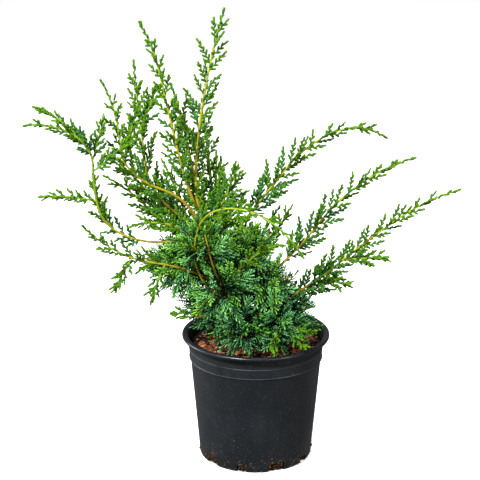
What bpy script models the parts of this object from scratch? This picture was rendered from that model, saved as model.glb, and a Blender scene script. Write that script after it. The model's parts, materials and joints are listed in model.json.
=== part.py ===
"""A young Chinese juniper in a black nursery pot.

The shrub leans to the left and throws long open shoots over a dense low mound.
Every shoot is grown from a bearing and a rise that change steadily along it.
Up to a certain length it is a bare bough, and from there on a mass of foliage.
A mass is one stem with toothed sprays, and it keeps to its own space.
Millimetres are used throughout, and meshes are scaled to metres when made.
"""

import math
import random
from collections import namedtuple

import bmesh
import bpy
import numpy as np
from mathutils import Matrix, Vector

MM = 0.001
NODE_GAP = 0.3
WELD = 0.02
SOUND_WELD = 0.001
SEED = 11

# Steps between the points of a path, for its own shape, for the mesh of a limb and for tests of space
PATH_STEP = 4.0
LIMB_STEP = 13.0
FINE_STEP = 2.0
WAY_STEP = 1.5

# Pot
POT_HEIGHT = 168.0
POT_SIDES = 32
WALL = 1.8
FLOOR = 3.0
BASE_RADIUS = 73.4
SHOULDER_RADIUS = 85.0
SHOULDER_HEIGHT = 134.5
BAND_RADIUS = 86.6
LIP_UNDERSIDE = 162.0
NECK_RADIUS = 87.4
RIM_RADIUS = 96.0
NOTCHES = 10
NOTCH_TURN = 36.0
FIRST_NOTCH = -141.0
LARGE_NOTCH = (22.0, 9.0)
SMALL_NOTCH = (12.0, 6.0)
NOTCH_DEPTH = (9.0, 6.0)
NOTCH_SILL = 0.6

# Potting mix
MIX_TOP = 154.0
MIX_SIDES = 16
MIX_WAIST = 70.0
MIX_EDGE_DROP = 2.0
FLAT_MIX_RADIUS = 20.0
UNEVEN_RINGS = (0.88, 0.6)
MIX_DIP = 1.5
MIX_SWELL = 2.5

# Trunk: bearings and rises in degrees, spread evenly along it
TRUNK_LENGTH = 258.0
TRUNK_BEARING = (192, 192, 192, 165, 60)
TRUNK_RISE = (75, 63, 64, 78, 83)
TRUNK_GIRTH = ((0, 10.5), (7, 7.6), (60, 6.2), (130, 4.8), (200, 2.8), (258, 1.5))
TRUNK_SIDES = 7
FLARE_MARKS = (0.0, 3.0, 7.0)
TRUNK_MARKS = (20.0, TRUNK_LENGTH, 19)
CUTTER_DROP = 2.0
CUTTER_END = 0.2

# Shoots
BOUGH_FOOT = 2.3
BOUGH_END = 1.3
FOOT_SHARE = 0.75
STEM_GIRTH = (1.3, 0.5)
BOUGH_SIDES = 5
STEM_SIDES = 3
STEM_STEP = 17.0
CLEAR_OF_LIMBS = 0.7
SPACE_GAP = 1.3
CLEAR_OF_POT = 1.0
ROOT_REACH = 2.2
TEST_SPACING = 2.5
CORE_TEST_SPACING = 6.0

# Sprays: each tooth is where its foot starts and ends and how far it reaches, as shares of the length
TEETH = ((0.12, 0.35, 0.48), (0.35, 0.62, 0.38))
TOOTH_ANGLE = (29, 39)
TOOTH_SIZE = (0.85, 1.1)
TOOTH_SHIFT = 0.05
RIB_AHEAD = 0.08
RIB_WIDTH = (0.4, 0.055)
RIB_THICKNESS = (0.75, 0.01)
SPRAY_TAPER = 0.45
SPRAY_RANGE = (0.9, 1.12)
SHORTEST_SPRAY = 10.0
SPRAY_SIZES = (1.0, 0.82, 0.66, 0.5)
SPRAY_TURNS = 5
LEAN = (32, 46)
TURN = 137.5
TURN_SWAY = 15
FIRST_SPRAY = 8.0
LAST_SPRAY = 12.0
SPACING_RANGE = (0.85, 1.15)
TIP_SPRAY = 17.5
TIP_OVERLAP = 14.0

SHOOT_FIELDS = "name up length bare bearing rise reach forks spacing core"
Shoot = namedtuple("Shoot", SHOOT_FIELDS, defaults=((), 23.0, 0.0))
Fork = namedtuple("Fork", "at length bearing rise reach")

# Name, height of the foot up the trunk, length, bare length, bearings, rises, longest spray, forks
SHOOTS = (
    Shoot("lower_right_arc", 36, 330, 80, (-11, -13, -14, -13, -12), (24, 38, 43, 38, 20), 46,
          (Fork(150, 70, (-40, -30), (20, 10), 26),)),
    Shoot("middle_right_arc", 62, 296, 88, (2, 1, 1, 1, 1), (38, 46, 53, 36, 16), 44),
    Shoot("upper_right_arc", 110, 306, 115, (30, 15, 13, 11, 11), (78, 49, 51, 22, -38), 44),
    Shoot("front_arch", 66, 330, 125, (200, 215, 300, 325, 335, 330), (4, 64, 72, 20, -24, -55), 16,
          (), 24.0),
    Shoot("low_left", 80, 222, 60, (196, 194, 194, 196, 200), (30, 26, 12, 33, 50), 32,
          (Fork(98, 48, (245, 225), (-30, -75), 22), Fork(142, 44, (240, 215), (-25, -75), 20))),
    Shoot("left_tuft", 124, 142, 30, (210, 204, 199, 198), (50, 46, 16, -16), 34),
    Shoot("left_fan", 133, 175, 30, (168, 170, 167, 170), (40, 28, 42, 24), 36),
    Shoot("left_loop", 143, 234, 105, (196, 193, 196, 238, 275), (30, -2, 28, 70, 84), 30,
          (Fork(184, 72, (200, 184), (20, -4), 15),)),
    Shoot("left_back_fan", 150, 175, 30, (150, 158, 155, 160), (36, 30, 42, 24), 36),
    Shoot("curved_leader", 162, 255, 80, (167, 170, 122, 125, 105), (32, 40, 78, 77, 78), 42),
    Shoot("swan_neck", 170, 256, 112, (214, 204, 192, 195, 235, 190, 185), (62, 50, 22, 46, 86, 76, 60), 28,
          (Fork(150, 74, (-35, -30), (70, 74), 24),)),
    Shoot("left_leader", 188, 264, 75, (200, 195, 193, 193, 188), (64, 76, 78, 78, 60), 40),
    Shoot("middle_leader", 180, 180, 0, (110, 130, 140, 142, 150), (62, 76, 74, 72, 66), 42),
    Shoot("tall_leader", 258, 196, 0, (50, 25, 20, 15), (84, 80, 77, 72), 50),
    Shoot("short_right_plume", 152, 112, 0, (60, 75, 80), (62, 66, 58), 36),
    Shoot("front_right_shoot", 84, 145, 0, (-85, -52, -50, -46), (58, 40, 36, 12), 34),
    Shoot("right_back_shoot", 78, 130, 0, (60, 50, 45, 40), (50, 42, 48, 44), 34),
    Shoot("back_left_shoot", 96, 190, 30, (135, 130, 128, 130), (30, 40, 55, 45), 38),
    Shoot("back_shoot", 122, 175, 30, (96, 92, 90, 90), (26, 38, 50, 40), 38),
    Shoot("back_right_shoot", 92, 150, 30, (30, 52, 55, 55), (12, 26, 40, 32), 38),
    Shoot("back_leader", 140, 186, 0, (80, 100, 112, 116), (44, 66, 72, 66), 38),
    Shoot("front_left_shoot", 100, 120, 0, (-120, -130, -135, -135), (30, 45, 44, 20), 34),
    Shoot("mound_front", 24, 80, 0, (-98, -100), (24, -8), 36, (), 0.0, 0.6),
    Shoot("mound_front_right", 30, 88, 0, (-52, -50), (22, -4), 36, (), 0.0, 0.6),
    Shoot("mound_right", 18, 86, 0, (-8, -6), (34, 12), 38, (), 0.0, 0.6),
    Shoot("mound_front_left", 33, 86, 0, (-145, -146), (26, 0), 36, (), 0.0, 0.6),
    Shoot("mound_left", 40, 96, 0, (184, 182), (20, 6), 36, (), 0.0, 0.6),
    Shoot("mound_back_left", 22, 84, 0, (132, 136), (36, 10), 36, (), 0.0, 0.6),
    Shoot("mound_back", 34, 80, 0, (88, 90), (30, 8), 36, (), 0.0, 0.6),
    Shoot("mound_back_right", 24, 84, 0, (42, 42), (34, 10), 36, (), 0.0, 0.6),
    Shoot("upper_mound_front", 74, 80, 0, (-112, -112), (30, 14), 36, (), 0.0, 0.6),
    Shoot("upper_mound_right", 70, 84, 0, (-22, -18), (34, 14), 36, (), 0.0, 0.6),
    Shoot("upper_mound_left", 58, 92, 0, (160, 158), (34, 16), 36, (), 0.0, 0.6),
    Shoot("upper_mound_back", 56, 84, 0, (108, 112), (40, 22), 36, (), 0.0, 0.6),
    Shoot("left_mound", 90, 122, 0, (178, 184), (28, 4), 44, (), 0.0, 0.66),
    Shoot("inner_right", 100, 84, 0, (0, 8), (54, 34), 38, (), 0.0, 0.62),
    Shoot("inner_front", 116, 78, 0, (234, 238), (40, 24), 36, (), 0.0, 0.6),
)
LOOP_TIPS = Shoot("loop_tips", 0, 114, 0, (262, 205, 190, 190), (78, 46, 18, -6), 28,
                  (Fork(12, 96, (190, 180), (66, 20), 17),), 22.0)
LOOP_TIPS_GAP = 0.5
CORE_RADIUS = 24.0
CORE_SHRINK = (1.0, 0.85, 0.7, 0.58, 0.48)
CORE_UNEVEN = (0.82, 1.08)
CORE_SPRAYS = 8
CORE_SPREAD = (14, 118)
CORE_SWAY = 20
CORE_LEAN = 12
CORE_ROOT = 0.5
CORE_RANGE = (0.9, 1.15)

COLOURS = {
    "pot": (0.020, 0.024, 0.028, 1.0),
    "mix": (0.130, 0.055, 0.030, 1.0),
    "trunk": (0.150, 0.085, 0.045, 1.0),
    "bough": (0.260, 0.170, 0.070, 1.0),
    "foliage": (0.090, 0.200, 0.075, 1.0),
    "mound": (0.060, 0.160, 0.090, 1.0),
}


# Scene and objects

def empty_scene():
    """Clear the file and add one collection for the shrub and one for its cutters."""
    for obj in list(bpy.data.objects):
        bpy.data.objects.remove(obj, do_unlink=True)
    made = []
    for name in ("potted_juniper", "cutters"):
        collection = bpy.data.collections.new(name)
        bpy.context.scene.collection.children.link(collection)
        made.append(collection)
    return made


def material(name, colour, roughness):
    """A plain Principled material."""
    made = bpy.data.materials.new(name)
    made.use_nodes = True
    shader = made.node_tree.nodes["Principled BSDF"]
    shader.inputs["Base Color"].default_value = colour
    shader.inputs["Roughness"].default_value = roughness
    return made


def add_object(name, verts, faces, collection):
    """An object from points in millimetres, with its faces turned outwards."""
    mesh = bpy.data.meshes.new(name)
    mesh.from_pydata([Vector(v) * MM for v in verts], [], [tuple(f) for f in faces])
    shape = bmesh.new()
    shape.from_mesh(mesh)
    bmesh.ops.recalc_face_normals(shape, faces=shape.faces)
    shape.to_mesh(mesh)
    shape.free()
    obj = bpy.data.objects.new(name, mesh)
    collection.objects.link(obj)
    return obj


def as_cutter(obj):
    """Keep a cutter out of renders and show it as wires."""
    obj.hide_render = True
    obj.display_type = "WIRE"
    return obj


def evaluated(obj):
    """Replace an object's mesh by what its modifiers make of it."""
    graph = bpy.context.evaluated_depsgraph_get()
    mesh = bpy.data.meshes.new_from_object(obj.evaluated_get(graph))
    obj.modifiers.clear()
    obj.data = mesh


def boolean(obj, other, operation):
    """Apply one Boolean with an object or with a whole collection."""
    step = obj.modifiers.new(operation.lower(), "BOOLEAN")
    step.operation = operation
    step.solver = "EXACT"
    if isinstance(other, bpy.types.Collection):
        step.operand_type = "COLLECTION"
        step.collection = other
    else:
        step.object = other
    evaluated(obj)


def shells(shape):
    """The connected groups of faces in a bmesh."""
    shape.faces.ensure_lookup_table()
    left = set(shape.faces)
    groups = []
    while left:
        group = {left.pop()}
        edge = list(group)
        while edge:
            face = edge.pop()
            for side in face.edges:
                for near in side.link_faces:
                    if near in left:
                        left.remove(near)
                        group.add(near)
                        edge.append(near)
        groups.append(group)
    return groups


def keep_main_shell(obj):
    """Drop loose scraps and fill sealed hollows: only the largest shell stays."""
    shape = bmesh.new()
    shape.from_mesh(obj.data)
    groups = sorted(shells(shape), key=len, reverse=True)
    spare = [face for group in groups[1:] for face in group]
    if spare:
        bmesh.ops.delete(shape, geom=spare, context="FACES")
    bmesh.ops.triangulate(shape, faces=shape.faces)
    shape.to_mesh(obj.data)
    shape.free()


def is_sound(obj):
    """Whether a fused body is closed and touches itself nowhere along an edge."""
    shape = bmesh.new()
    shape.from_mesh(obj.data)
    bmesh.ops.remove_doubles(shape, verts=shape.verts, dist=SOUND_WELD * MM)
    sound = all(len(edge.link_faces) == 2 for edge in shape.edges)
    sound = sound and len(shells(shape)) == 1
    shape.free()
    return sound


def finish(obj, paint):
    """Give a node its own material."""
    obj.data.materials.clear()
    obj.data.materials.append(paint)


# Limbs

def spread(values, share):
    """The value at a share of the way through evenly spread values."""
    return np.interp(share, np.linspace(0, 1, len(values)), values)


def heading(bearing, rise):
    """Unit vectors for bearings and rises in degrees."""
    b = np.radians(bearing)
    r = np.radians(rise)
    return np.stack([np.cos(r) * np.cos(b), np.cos(r) * np.sin(b), np.sin(r)], axis=-1)


def limb_path(start, length, bearing, rise):
    """Points along a limb that turns steadily through its bearings and rises."""
    count = max(4, round(length / PATH_STEP))
    middle = (np.arange(count) + 0.5) / count
    ways = heading(spread(bearing, middle), spread(rise, middle))
    return np.vstack([start, start + np.cumsum(ways, axis=0) * length / count])


def distances(path):
    """How far along a path each of its points lies."""
    steps = np.linalg.norm(np.diff(path, axis=0), axis=1)
    return np.concatenate([[0.0], np.cumsum(steps)])


def place(path, distance):
    """The points at distances along a path."""
    run = distances(path)
    return np.stack([np.interp(distance, run, path[:, axis]) for axis in range(3)], axis=-1)


def direction(path, distance):
    """The way a path runs at a distance along it."""
    ahead = place(path, distance + WAY_STEP) - place(path, distance - WAY_STEP)
    return ahead / np.linalg.norm(ahead)


def stretch(path, first, last, step=PATH_STEP):
    """The part of a path between two distances."""
    count = max(2, round((last - first) / step) + 1)
    return place(path, np.linspace(first, last, count))


def with_forks(path, first, shoot):
    """The stem of a mass from a distance along its shoot, and the forks that leave it."""
    stem = stretch(path, first, shoot.length, STEM_STEP)
    stems = [(stem, shoot.reach)]
    for fork in shoot.forks:
        line = limb_path(place(stem, fork.at - first), *fork[1:4])
        stems.append((stretch(line, 0.0, fork.length, STEM_STEP), fork.reach))
    return stems


def across(way):
    """Two unit vectors square to a way and to each other."""
    guide = np.array([0.0, 0.0, 1.0]) if abs(way[2]) < 0.9 else np.array([0.0, 1.0, 0.0])
    side = np.cross(way, guide)
    side = side / np.linalg.norm(side)
    return side, np.cross(side, way)


def tube(path, radii, sides):
    """Vertices and faces of a closed tube along a path."""
    verts = []
    faces = []
    side, up = across(path[1] - path[0])
    for number, point in enumerate(path):
        way = path[min(number + 1, len(path) - 1)] - path[max(number - 1, 0)]
        way = way / np.linalg.norm(way)
        side = side - way * side.dot(way)
        side = side / np.linalg.norm(side)
        up = np.cross(side, way)
        for corner in range(sides):
            angle = math.tau * corner / sides
            verts.append(point + (side * math.cos(angle) + up * math.sin(angle)) * radii[number])
    for ring in range(len(path) - 1):
        for corner in range(sides):
            after = (corner + 1) % sides
            low = ring * sides
            faces.append((low + corner, low + after, low + sides + after, low + sides + corner))
    faces.append(tuple(range(sides))[::-1])
    faces.append(tuple(range(len(verts) - sides, len(verts))))
    return verts, faces


def trunk_radius(up):
    """The trunk's radius at a distance along it."""
    marks, radii = zip(*TRUNK_GIRTH)
    return np.interp(up, marks, radii)


def bough_radius(shoot, along):
    """A bough's radius, from its foot on the trunk to where its foliage starts."""
    foot = min(BOUGH_FOOT, FOOT_SHARE * trunk_radius(shoot.up))
    return foot + (BOUGH_END - foot) * np.minimum(along / shoot.bare, 1.0)


Limb = namedtuple("Limb", "path radii")
Mass = namedtuple("Mass", "shoot stems")


def lay_out():
    """Work out the trunk, every bough and the stems of every mass."""
    start = np.array([0.0, 0.0, MIX_TOP + NODE_GAP])
    trunk = limb_path(start, TRUNK_LENGTH, TRUNK_BEARING, TRUNK_RISE)
    boughs = {}
    masses = {}
    for shoot in SHOOTS:
        path = limb_path(place(trunk, shoot.up), shoot.length, shoot.bearing, shoot.rise)
        first = 0.0
        if shoot.bare:
            bough = stretch(path, 0.0, shoot.bare)
            boughs[shoot.name] = Limb(bough, bough_radius(shoot, distances(bough)))
            first = shoot.bare + NODE_GAP
        if shoot.up >= TRUNK_LENGTH:
            first = NODE_GAP
        masses[shoot.name] = Mass(shoot, with_forks(path, first, shoot))
        if shoot.name == "left_loop":
            end = place(path, shoot.length) + direction(path, shoot.length - WAY_STEP) * LOOP_TIPS_GAP
            tips = limb_path(end, LOOP_TIPS.length, LOOP_TIPS.bearing, LOOP_TIPS.rise)
            masses[LOOP_TIPS.name] = Mass(LOOP_TIPS, with_forks(tips, 0.0, LOOP_TIPS))
    return Limb(trunk, trunk_radius(distances(trunk))), boughs, masses


# Space

def nearest(points, others):
    """Distance from each point to the nearest of the others."""
    return np.linalg.norm(points[:, None] - others[None], axis=2).min(axis=1)


class Space:
    """Tells whether a spray keeps clear of limbs and pot and stays in its own mass's space."""

    def __init__(self, trunk, boughs, masses):
        limbs = [trunk, *boughs.values()]
        points = []
        radii = []
        for limb in limbs:
            fine = stretch(limb.path, 0.0, distances(limb.path)[-1], FINE_STEP)
            points.append(fine)
            radii.append(np.interp(distances(fine), distances(limb.path), limb.radii))
        self.limb_points = np.vstack(points)
        self.limb_radii = np.concatenate(radii)
        self.stems = {}
        for name, mass in masses.items():
            lines = [stretch(path, 0.0, distances(path)[-1], FINE_STEP) for path, reach in mass.stems]
            self.stems[name] = np.vstack(lines)
        self.others = {}
        for name in masses:
            self.others[name] = np.vstack([line for other, line in self.stems.items() if other != name])

    def is_free(self, name, points):
        """Whether all the points are free for a mass."""
        gaps = np.linalg.norm(points[:, None] - self.limb_points[None], axis=2) - self.limb_radii[None]
        if gaps.min() < CLEAR_OF_LIMBS:
            return False
        if (nearest(points, self.stems[name]) + SPACE_GAP > nearest(points, self.others[name])).any():
            return False
        out = np.hypot(points[:, 0], points[:, 1])
        floor = np.where(out < SHOULDER_RADIUS - WALL - CLEAR_OF_POT, MIX_TOP + MIX_SWELL, POT_HEIGHT)
        floor = np.where(out > RIM_RADIUS + CLEAR_OF_POT, 0.0, floor)
        return bool((points[:, 2] > floor + CLEAR_OF_POT).all())

    def has_room(self, name, made, root):
        """Whether a spray is free beyond its root, by its corners first and then all over."""
        verts, faces = made
        corners = verts[np.linalg.norm(verts - root, axis=1) > ROOT_REACH]
        if not self.is_free(name, corners):
            return False
        tested = spread_points(verts, faces)
        return self.is_free(name, tested[np.linalg.norm(tested - root, axis=1) > ROOT_REACH])


# Sprays

def blade(root, way, side, length, rng):
    """A spray as a toothed blade: two faces that meet in sharp edges, thick along the rib."""
    up = np.cross(way, side)
    up = up / np.linalg.norm(up)
    side = np.cross(up, way)
    thick = RIB_THICKNESS[0] + RIB_THICKNESS[1] * length
    half = RIB_WIDTH[0] + RIB_WIDTH[1] * length
    verts = [root, root + way * length]
    faces = []

    def add(along, aside, above=0.0):
        verts.append(root + way * along + side * aside + up * above)
        return len(verts) - 1

    ribs = {}
    for face in (1, -1):
        ribs[face] = [add(length * (start + RIB_AHEAD), 0.0, face * thick) for start, end, reach in TEETH]
    for turn in (1, -1):
        edge = [0]
        for start, end, reach in TEETH:
            angle = math.radians(rng.uniform(*TOOTH_ANGLE))
            size = reach * length * rng.uniform(*TOOTH_SIZE)
            shift = 0.0 if turn > 0 else TOOTH_SHIFT * length
            foot = start * length + shift
            if len(edge) == 1:
                edge.append(add(foot, turn * half))
            edge.append(add(foot + size * math.cos(angle), turn * (half + size * math.sin(angle))))
            edge.append(add(end * length + shift, turn * half))
        edge.append(1)
        for face in (1, -1):
            rib = ribs[face]
            corners = [(rib[0], edge[k], edge[k + 1]) for k in range(3)]
            corners.append((rib[0], edge[3], rib[1]))
            corners += [(rib[1], edge[k], edge[k + 1]) for k in range(3, 6)]
            faces += corners if turn * face > 0 else [corner[::-1] for corner in corners]
    return np.array(verts), faces


def spread_points(verts, faces, spacing=TEST_SPACING):
    """Points spread over the faces of a blade or a core."""
    found = [verts]
    for face in faces:
        a, b, c = verts[list(face)[:3]]
        longest = max(np.linalg.norm(b - a), np.linalg.norm(c - a), np.linalg.norm(c - b))
        count = max(1, math.ceil(longest / spacing))
        i, j = np.meshgrid(np.arange(count + 1), np.arange(count + 1))
        i, j = i[i + j <= count], j[i + j <= count]
        found.append(a + np.outer(i / count, b - a) + np.outer(j / count, c - a))
    return np.vstack(found)


def spray_length(share, reach, rng):
    """Sprays are longest near the foot of a stem and shorten towards its tip."""
    return reach * (1 - SPRAY_TAPER * share) * rng.uniform(*SPRAY_RANGE)


def grow_spray(space, name, root, way, roll, lean, size, rng):
    """One spray that leans away from a way, turned or shortened until it has room."""
    side, up = across(way)
    for share in SPRAY_SIZES:
        if size * share < SHORTEST_SPRAY:
            return None
        for turn in range(SPRAY_TURNS):
            angle = math.radians(roll + 360 * turn / SPRAY_TURNS)
            out = side * math.cos(angle) + up * math.sin(angle)
            ahead = way * math.cos(lean) + out * math.sin(lean)
            made = blade(root, ahead, np.cross(ahead, np.cross(ahead, way)), size * share, rng)
            if space.has_room(name, made, root):
                return made
    return None


def grow_mass(space, name, mass, rng):
    """The sprays along every stem of a mass, and one at each tip."""
    made = []
    for path, reach in mass.stems:
        total = distances(path)[-1]
        distance = FIRST_SPRAY
        roll = rng.uniform(0, 360)
        while distance < total - LAST_SPRAY:
            roll += TURN + rng.uniform(-TURN_SWAY, TURN_SWAY)
            size = spray_length(distance / total, reach, rng)
            lean = math.radians(rng.uniform(*LEAN))
            root = place(path, distance)
            spray = grow_spray(space, name, root, direction(path, distance), roll, lean, size, rng)
            if spray:
                made.append(spray)
            distance += mass.shoot.spacing * rng.uniform(*SPACING_RANGE) * (0.7 + reach / 100)
        root = place(path, total - TIP_OVERLAP)
        tip = blade(root, direction(path, total - TIP_OVERLAP / 2), np.array([0.4, 0.9, 0.1]), TIP_SPRAY, rng)
        if space.is_free(name, spread_points(*tip)):
            made.append(tip)
    return made


def lump(centre, radius, rng):
    """Vertices and triangles of an uneven lump of 20 faces."""
    shape = bmesh.new()
    bmesh.ops.create_icosphere(shape, subdivisions=1, radius=radius)
    verts = np.array([tuple(vert.co * rng.uniform(*CORE_UNEVEN)) for vert in shape.verts]) + centre
    faces = [tuple(vert.index for vert in face.verts) for face in shape.faces]
    shape.free()
    return verts, faces


def grow_core(space, name, mass, rng):
    """The core of a dense mass, as large as its space allows, and the sprays that stand out of it."""
    path = mass.stems[0][0]
    middle = distances(path)[-1] * mass.shoot.core
    centre = place(path, middle)
    way = direction(path, middle)
    made = []
    radius = 0.0
    for shrink in CORE_SHRINK:
        core = lump(centre, CORE_RADIUS * shrink, rng)
        if space.is_free(name, spread_points(*core, spacing=CORE_TEST_SPACING)):
            made.append(core)
            radius = CORE_RADIUS * shrink
            break
    side, up = across(way)
    for number in range(CORE_SPRAYS):
        polar = math.radians(np.interp(number, (0, CORE_SPRAYS), CORE_SPREAD))
        roll = math.radians(TURN * number + rng.uniform(-CORE_SWAY, CORE_SWAY))
        out = way * math.cos(polar) + (side * math.cos(roll) + up * math.sin(roll)) * math.sin(polar)
        root = centre + out * radius * CORE_ROOT
        size = mass.shoot.reach * rng.uniform(*CORE_RANGE)
        spray = grow_spray(space, name, root, out, rng.uniform(0, 360), math.radians(CORE_LEAN), size, rng)
        if spray:
            made.append(spray)
    return made


# Nodes

def make_bough(name, limb, collection, trunk_cutter):
    """A bough that tapers from its foot and is cut clear of the trunk."""
    path = stretch(limb.path, 0.0, distances(limb.path)[-1], LIMB_STEP)
    radii = np.interp(distances(path), distances(limb.path), limb.radii)
    bough = add_object(name + "_bough", *tube(path, radii, BOUGH_SIDES), collection)
    boolean(bough, trunk_cutter, "DIFFERENCE")
    keep_main_shell(bough)
    return bough


def make_trunk(limb, collection, grown=0.0):
    """The trunk with its root flare, or its cutter when grown."""
    marks = np.concatenate([FLARE_MARKS, np.linspace(*TRUNK_MARKS)])
    path = place(limb.path, marks)
    radii = trunk_radius(marks) + grown
    if grown:
        path[0, 2] -= CUTTER_DROP
        path[-1] += direction(limb.path, TRUNK_LENGTH) * CUTTER_END
        return as_cutter(add_object("trunk_cutter", *tube(path, radii, TRUNK_SIDES), collection))
    verts, faces = tube(path, radii, TRUNK_SIDES)
    for vert in verts[:TRUNK_SIDES]:
        vert[2] = MIX_TOP + NODE_GAP
    return add_object("trunk", verts, faces, collection)


def make_mass(name, mass, space, rng, collection, cutters, trunk_cutter):
    """Fuse a mass's stems, sprays and core into one body and cut it clear of the trunk."""
    pieces = grow_core(space, name, mass, rng) if mass.shoot.core else grow_mass(space, name, mass, rng)
    bodies = []
    for path, reach in mass.stems:
        bodies.append(tube(path, np.linspace(*STEM_GIRTH, len(path)), STEM_SIDES))
    on_trunk = not mass.shoot.bare and name != LOOP_TIPS.name
    while True:
        obj = fuse(name, bodies, pieces, collection, cutters)
        if on_trunk:
            boolean(obj, trunk_cutter, "DIFFERENCE")
        keep_main_shell(obj)
        if is_sound(obj) or not pieces:
            return obj
        bpy.data.objects.remove(obj, do_unlink=True)
        pieces.pop(rng.randrange(len(pieces)))


def fuse(name, bodies, pieces, collection, cutters):
    """One union on a collection joins a stem with its forks, sprays and core."""
    loose = bpy.data.collections.new(name + "_pieces")
    cutters.children.link(loose)
    for number, (verts, faces) in enumerate(bodies[1:] + pieces):
        add_object(f"{name}_piece_{number}", verts, faces, loose)
    obj = add_object(name + "_foliage", *bodies[0], collection)
    boolean(obj, loose, "UNION")
    for piece in list(loose.objects):
        bpy.data.objects.remove(piece, do_unlink=True)
    bpy.data.collections.remove(loose)
    return obj


def pot_profile():
    """Outline of the pot's wall, floor and rolled rim, from the underside round to the inside."""
    inner_base = BASE_RADIUS - WALL
    return (
        (0.0, 0.0), (BASE_RADIUS - 3.0, 0.0), (BASE_RADIUS, 2.5),
        (SHOULDER_RADIUS, SHOULDER_HEIGHT), (BAND_RADIUS, SHOULDER_HEIGHT + 1.2),
        (NECK_RADIUS, LIP_UNDERSIDE),
        (RIM_RADIUS - 2.4, LIP_UNDERSIDE + 0.2), (RIM_RADIUS - 0.5, LIP_UNDERSIDE + 1.6),
        (RIM_RADIUS, POT_HEIGHT - 2.6), (RIM_RADIUS - 0.9, POT_HEIGHT - 0.8), (RIM_RADIUS - 3.0, POT_HEIGHT),
        (NECK_RADIUS + 0.5, POT_HEIGHT - 0.5), (NECK_RADIUS - 1.6, POT_HEIGHT - 2.2),
        (NECK_RADIUS - WALL - 0.2, POT_HEIGHT - 6.0), (BAND_RADIUS - WALL, SHOULDER_HEIGHT + 1.8),
        (SHOULDER_RADIUS - WALL, SHOULDER_HEIGHT), (inner_base, FLOOR), (0.0, FLOOR),
    )


def turned(name, profile, sides, collection):
    """A profile of radii and heights turned about the vertical."""
    points = [(radius * MM, 0.0, height * MM) for radius, height in profile]
    mesh = bpy.data.meshes.new(name)
    mesh.from_pydata(points, [(number, number + 1) for number in range(len(points) - 1)], [])
    obj = bpy.data.objects.new(name, mesh)
    collection.objects.link(obj)
    turn = obj.modifiers.new("turn", "SCREW")
    turn.steps = sides
    turn.render_steps = sides
    turn.use_merge_vertices = True
    turn.merge_threshold = WELD * MM
    evaluated(obj)
    shape = bmesh.new()
    shape.from_mesh(obj.data)
    bmesh.ops.remove_doubles(shape, verts=shape.verts, dist=WELD * MM)
    bmesh.ops.recalc_face_normals(shape, faces=shape.faces)
    shape.to_mesh(obj.data)
    shape.free()
    return obj


def make_pot(collection, cutters):
    """The pot: a turned profile with drain notches cut through the foot of its wall."""
    pot = turned("pot", pot_profile(), POT_SIDES, collection)
    for number in range(NOTCHES):
        width, height = SMALL_NOTCH if number % 2 else LARGE_NOTCH
        turn = Matrix.Rotation(math.radians(FIRST_NOTCH + number * NOTCH_TURN), 4, "Z")
        cutter = notch_cutter(f"notch_{number}", width, height, turn, cutters)
        boolean(pot, cutter, "DIFFERENCE")
        bpy.data.objects.remove(cutter, do_unlink=True)
    keep_main_shell(pot)
    return pot


def notch_cutter(name, width, height, turn, collection):
    """A block that reaches through the wall at the pot's foot."""
    inside, outside = NOTCH_DEPTH
    low = FLOOR + NOTCH_SILL
    high = FLOOR + height
    centre = Vector((BASE_RADIUS + (outside - inside) / 2, 0.0, (low + high) / 2))
    sides = Vector((inside + outside, width, high - low))
    shape = bmesh.new()
    place_block = turn @ Matrix.Translation(centre * MM) @ Matrix.Diagonal(sides * MM).to_4x4()
    bmesh.ops.create_cube(shape, size=1.0, matrix=place_block)
    mesh = bpy.data.meshes.new(name)
    shape.to_mesh(mesh)
    shape.free()
    obj = bpy.data.objects.new(name, mesh)
    collection.objects.link(obj)
    return as_cutter(obj)


def mix_radius(height):
    """The pot's inner radius at a height, less the gap between nodes."""
    marks = (FLOOR, SHOULDER_HEIGHT, SHOULDER_HEIGHT + 1.8, POT_HEIGHT - 6.0)
    radii = (BASE_RADIUS - WALL, SHOULDER_RADIUS - WALL, BAND_RADIUS - WALL, NECK_RADIUS - WALL - 0.2)
    return np.interp(height, marks, radii) - NODE_GAP - 0.1


def make_mix(collection, rng):
    """The potting mix that fills the pot, flat at the trunk's foot and uneven round it."""
    heights = (FLOOR + NODE_GAP, MIX_WAIST, SHOULDER_HEIGHT - 0.5, MIX_TOP - MIX_EDGE_DROP)
    profile = [(0.0, FLOOR + NODE_GAP)]
    profile += [(mix_radius(height), height) for height in heights]
    profile += [(mix_radius(MIX_TOP) * share, MIX_TOP) for share in UNEVEN_RINGS]
    profile += [(FLAT_MIX_RADIUS, MIX_TOP), (0.0, MIX_TOP)]
    mix = turned("potting_mix", profile, MIX_SIDES, collection)
    for vert in mix.data.vertices:
        out = math.hypot(vert.co.x, vert.co.y) / MM
        if vert.co.z > (MIX_TOP - WELD) * MM and out > FLAT_MIX_RADIUS + 1.0:
            vert.co.z += rng.uniform(-MIX_DIP, MIX_SWELL) * MM
    return mix


def build():
    """Build every node."""
    plant, cutters = empty_scene()
    trunk, boughs, masses = lay_out()
    space = Space(trunk, boughs, masses)
    rng = random.Random(SEED)
    finish(make_pot(plant, cutters), material("black_plastic", COLOURS["pot"], 0.45))
    finish(make_mix(plant, rng), material("bark_mix", COLOURS["mix"], 0.9))
    finish(make_trunk(trunk, plant), material("trunk_bark", COLOURS["trunk"], 0.85))
    trunk_cutter = make_trunk(trunk, cutters, NODE_GAP)
    for name, limb in boughs.items():
        bough = make_bough(name, limb, plant, trunk_cutter)
        finish(bough, material(name + "_bark", COLOURS["bough"], 0.8))
    for name, mass in masses.items():
        foliage = make_mass(name, mass, space, rng, plant, cutters, trunk_cutter)
        tone = "mound" if mass.shoot.core else "foliage"
        finish(foliage, material(name + "_leaves", COLOURS[tone], 0.7))
    bpy.data.objects.remove(trunk_cutter, do_unlink=True)


build()
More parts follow.
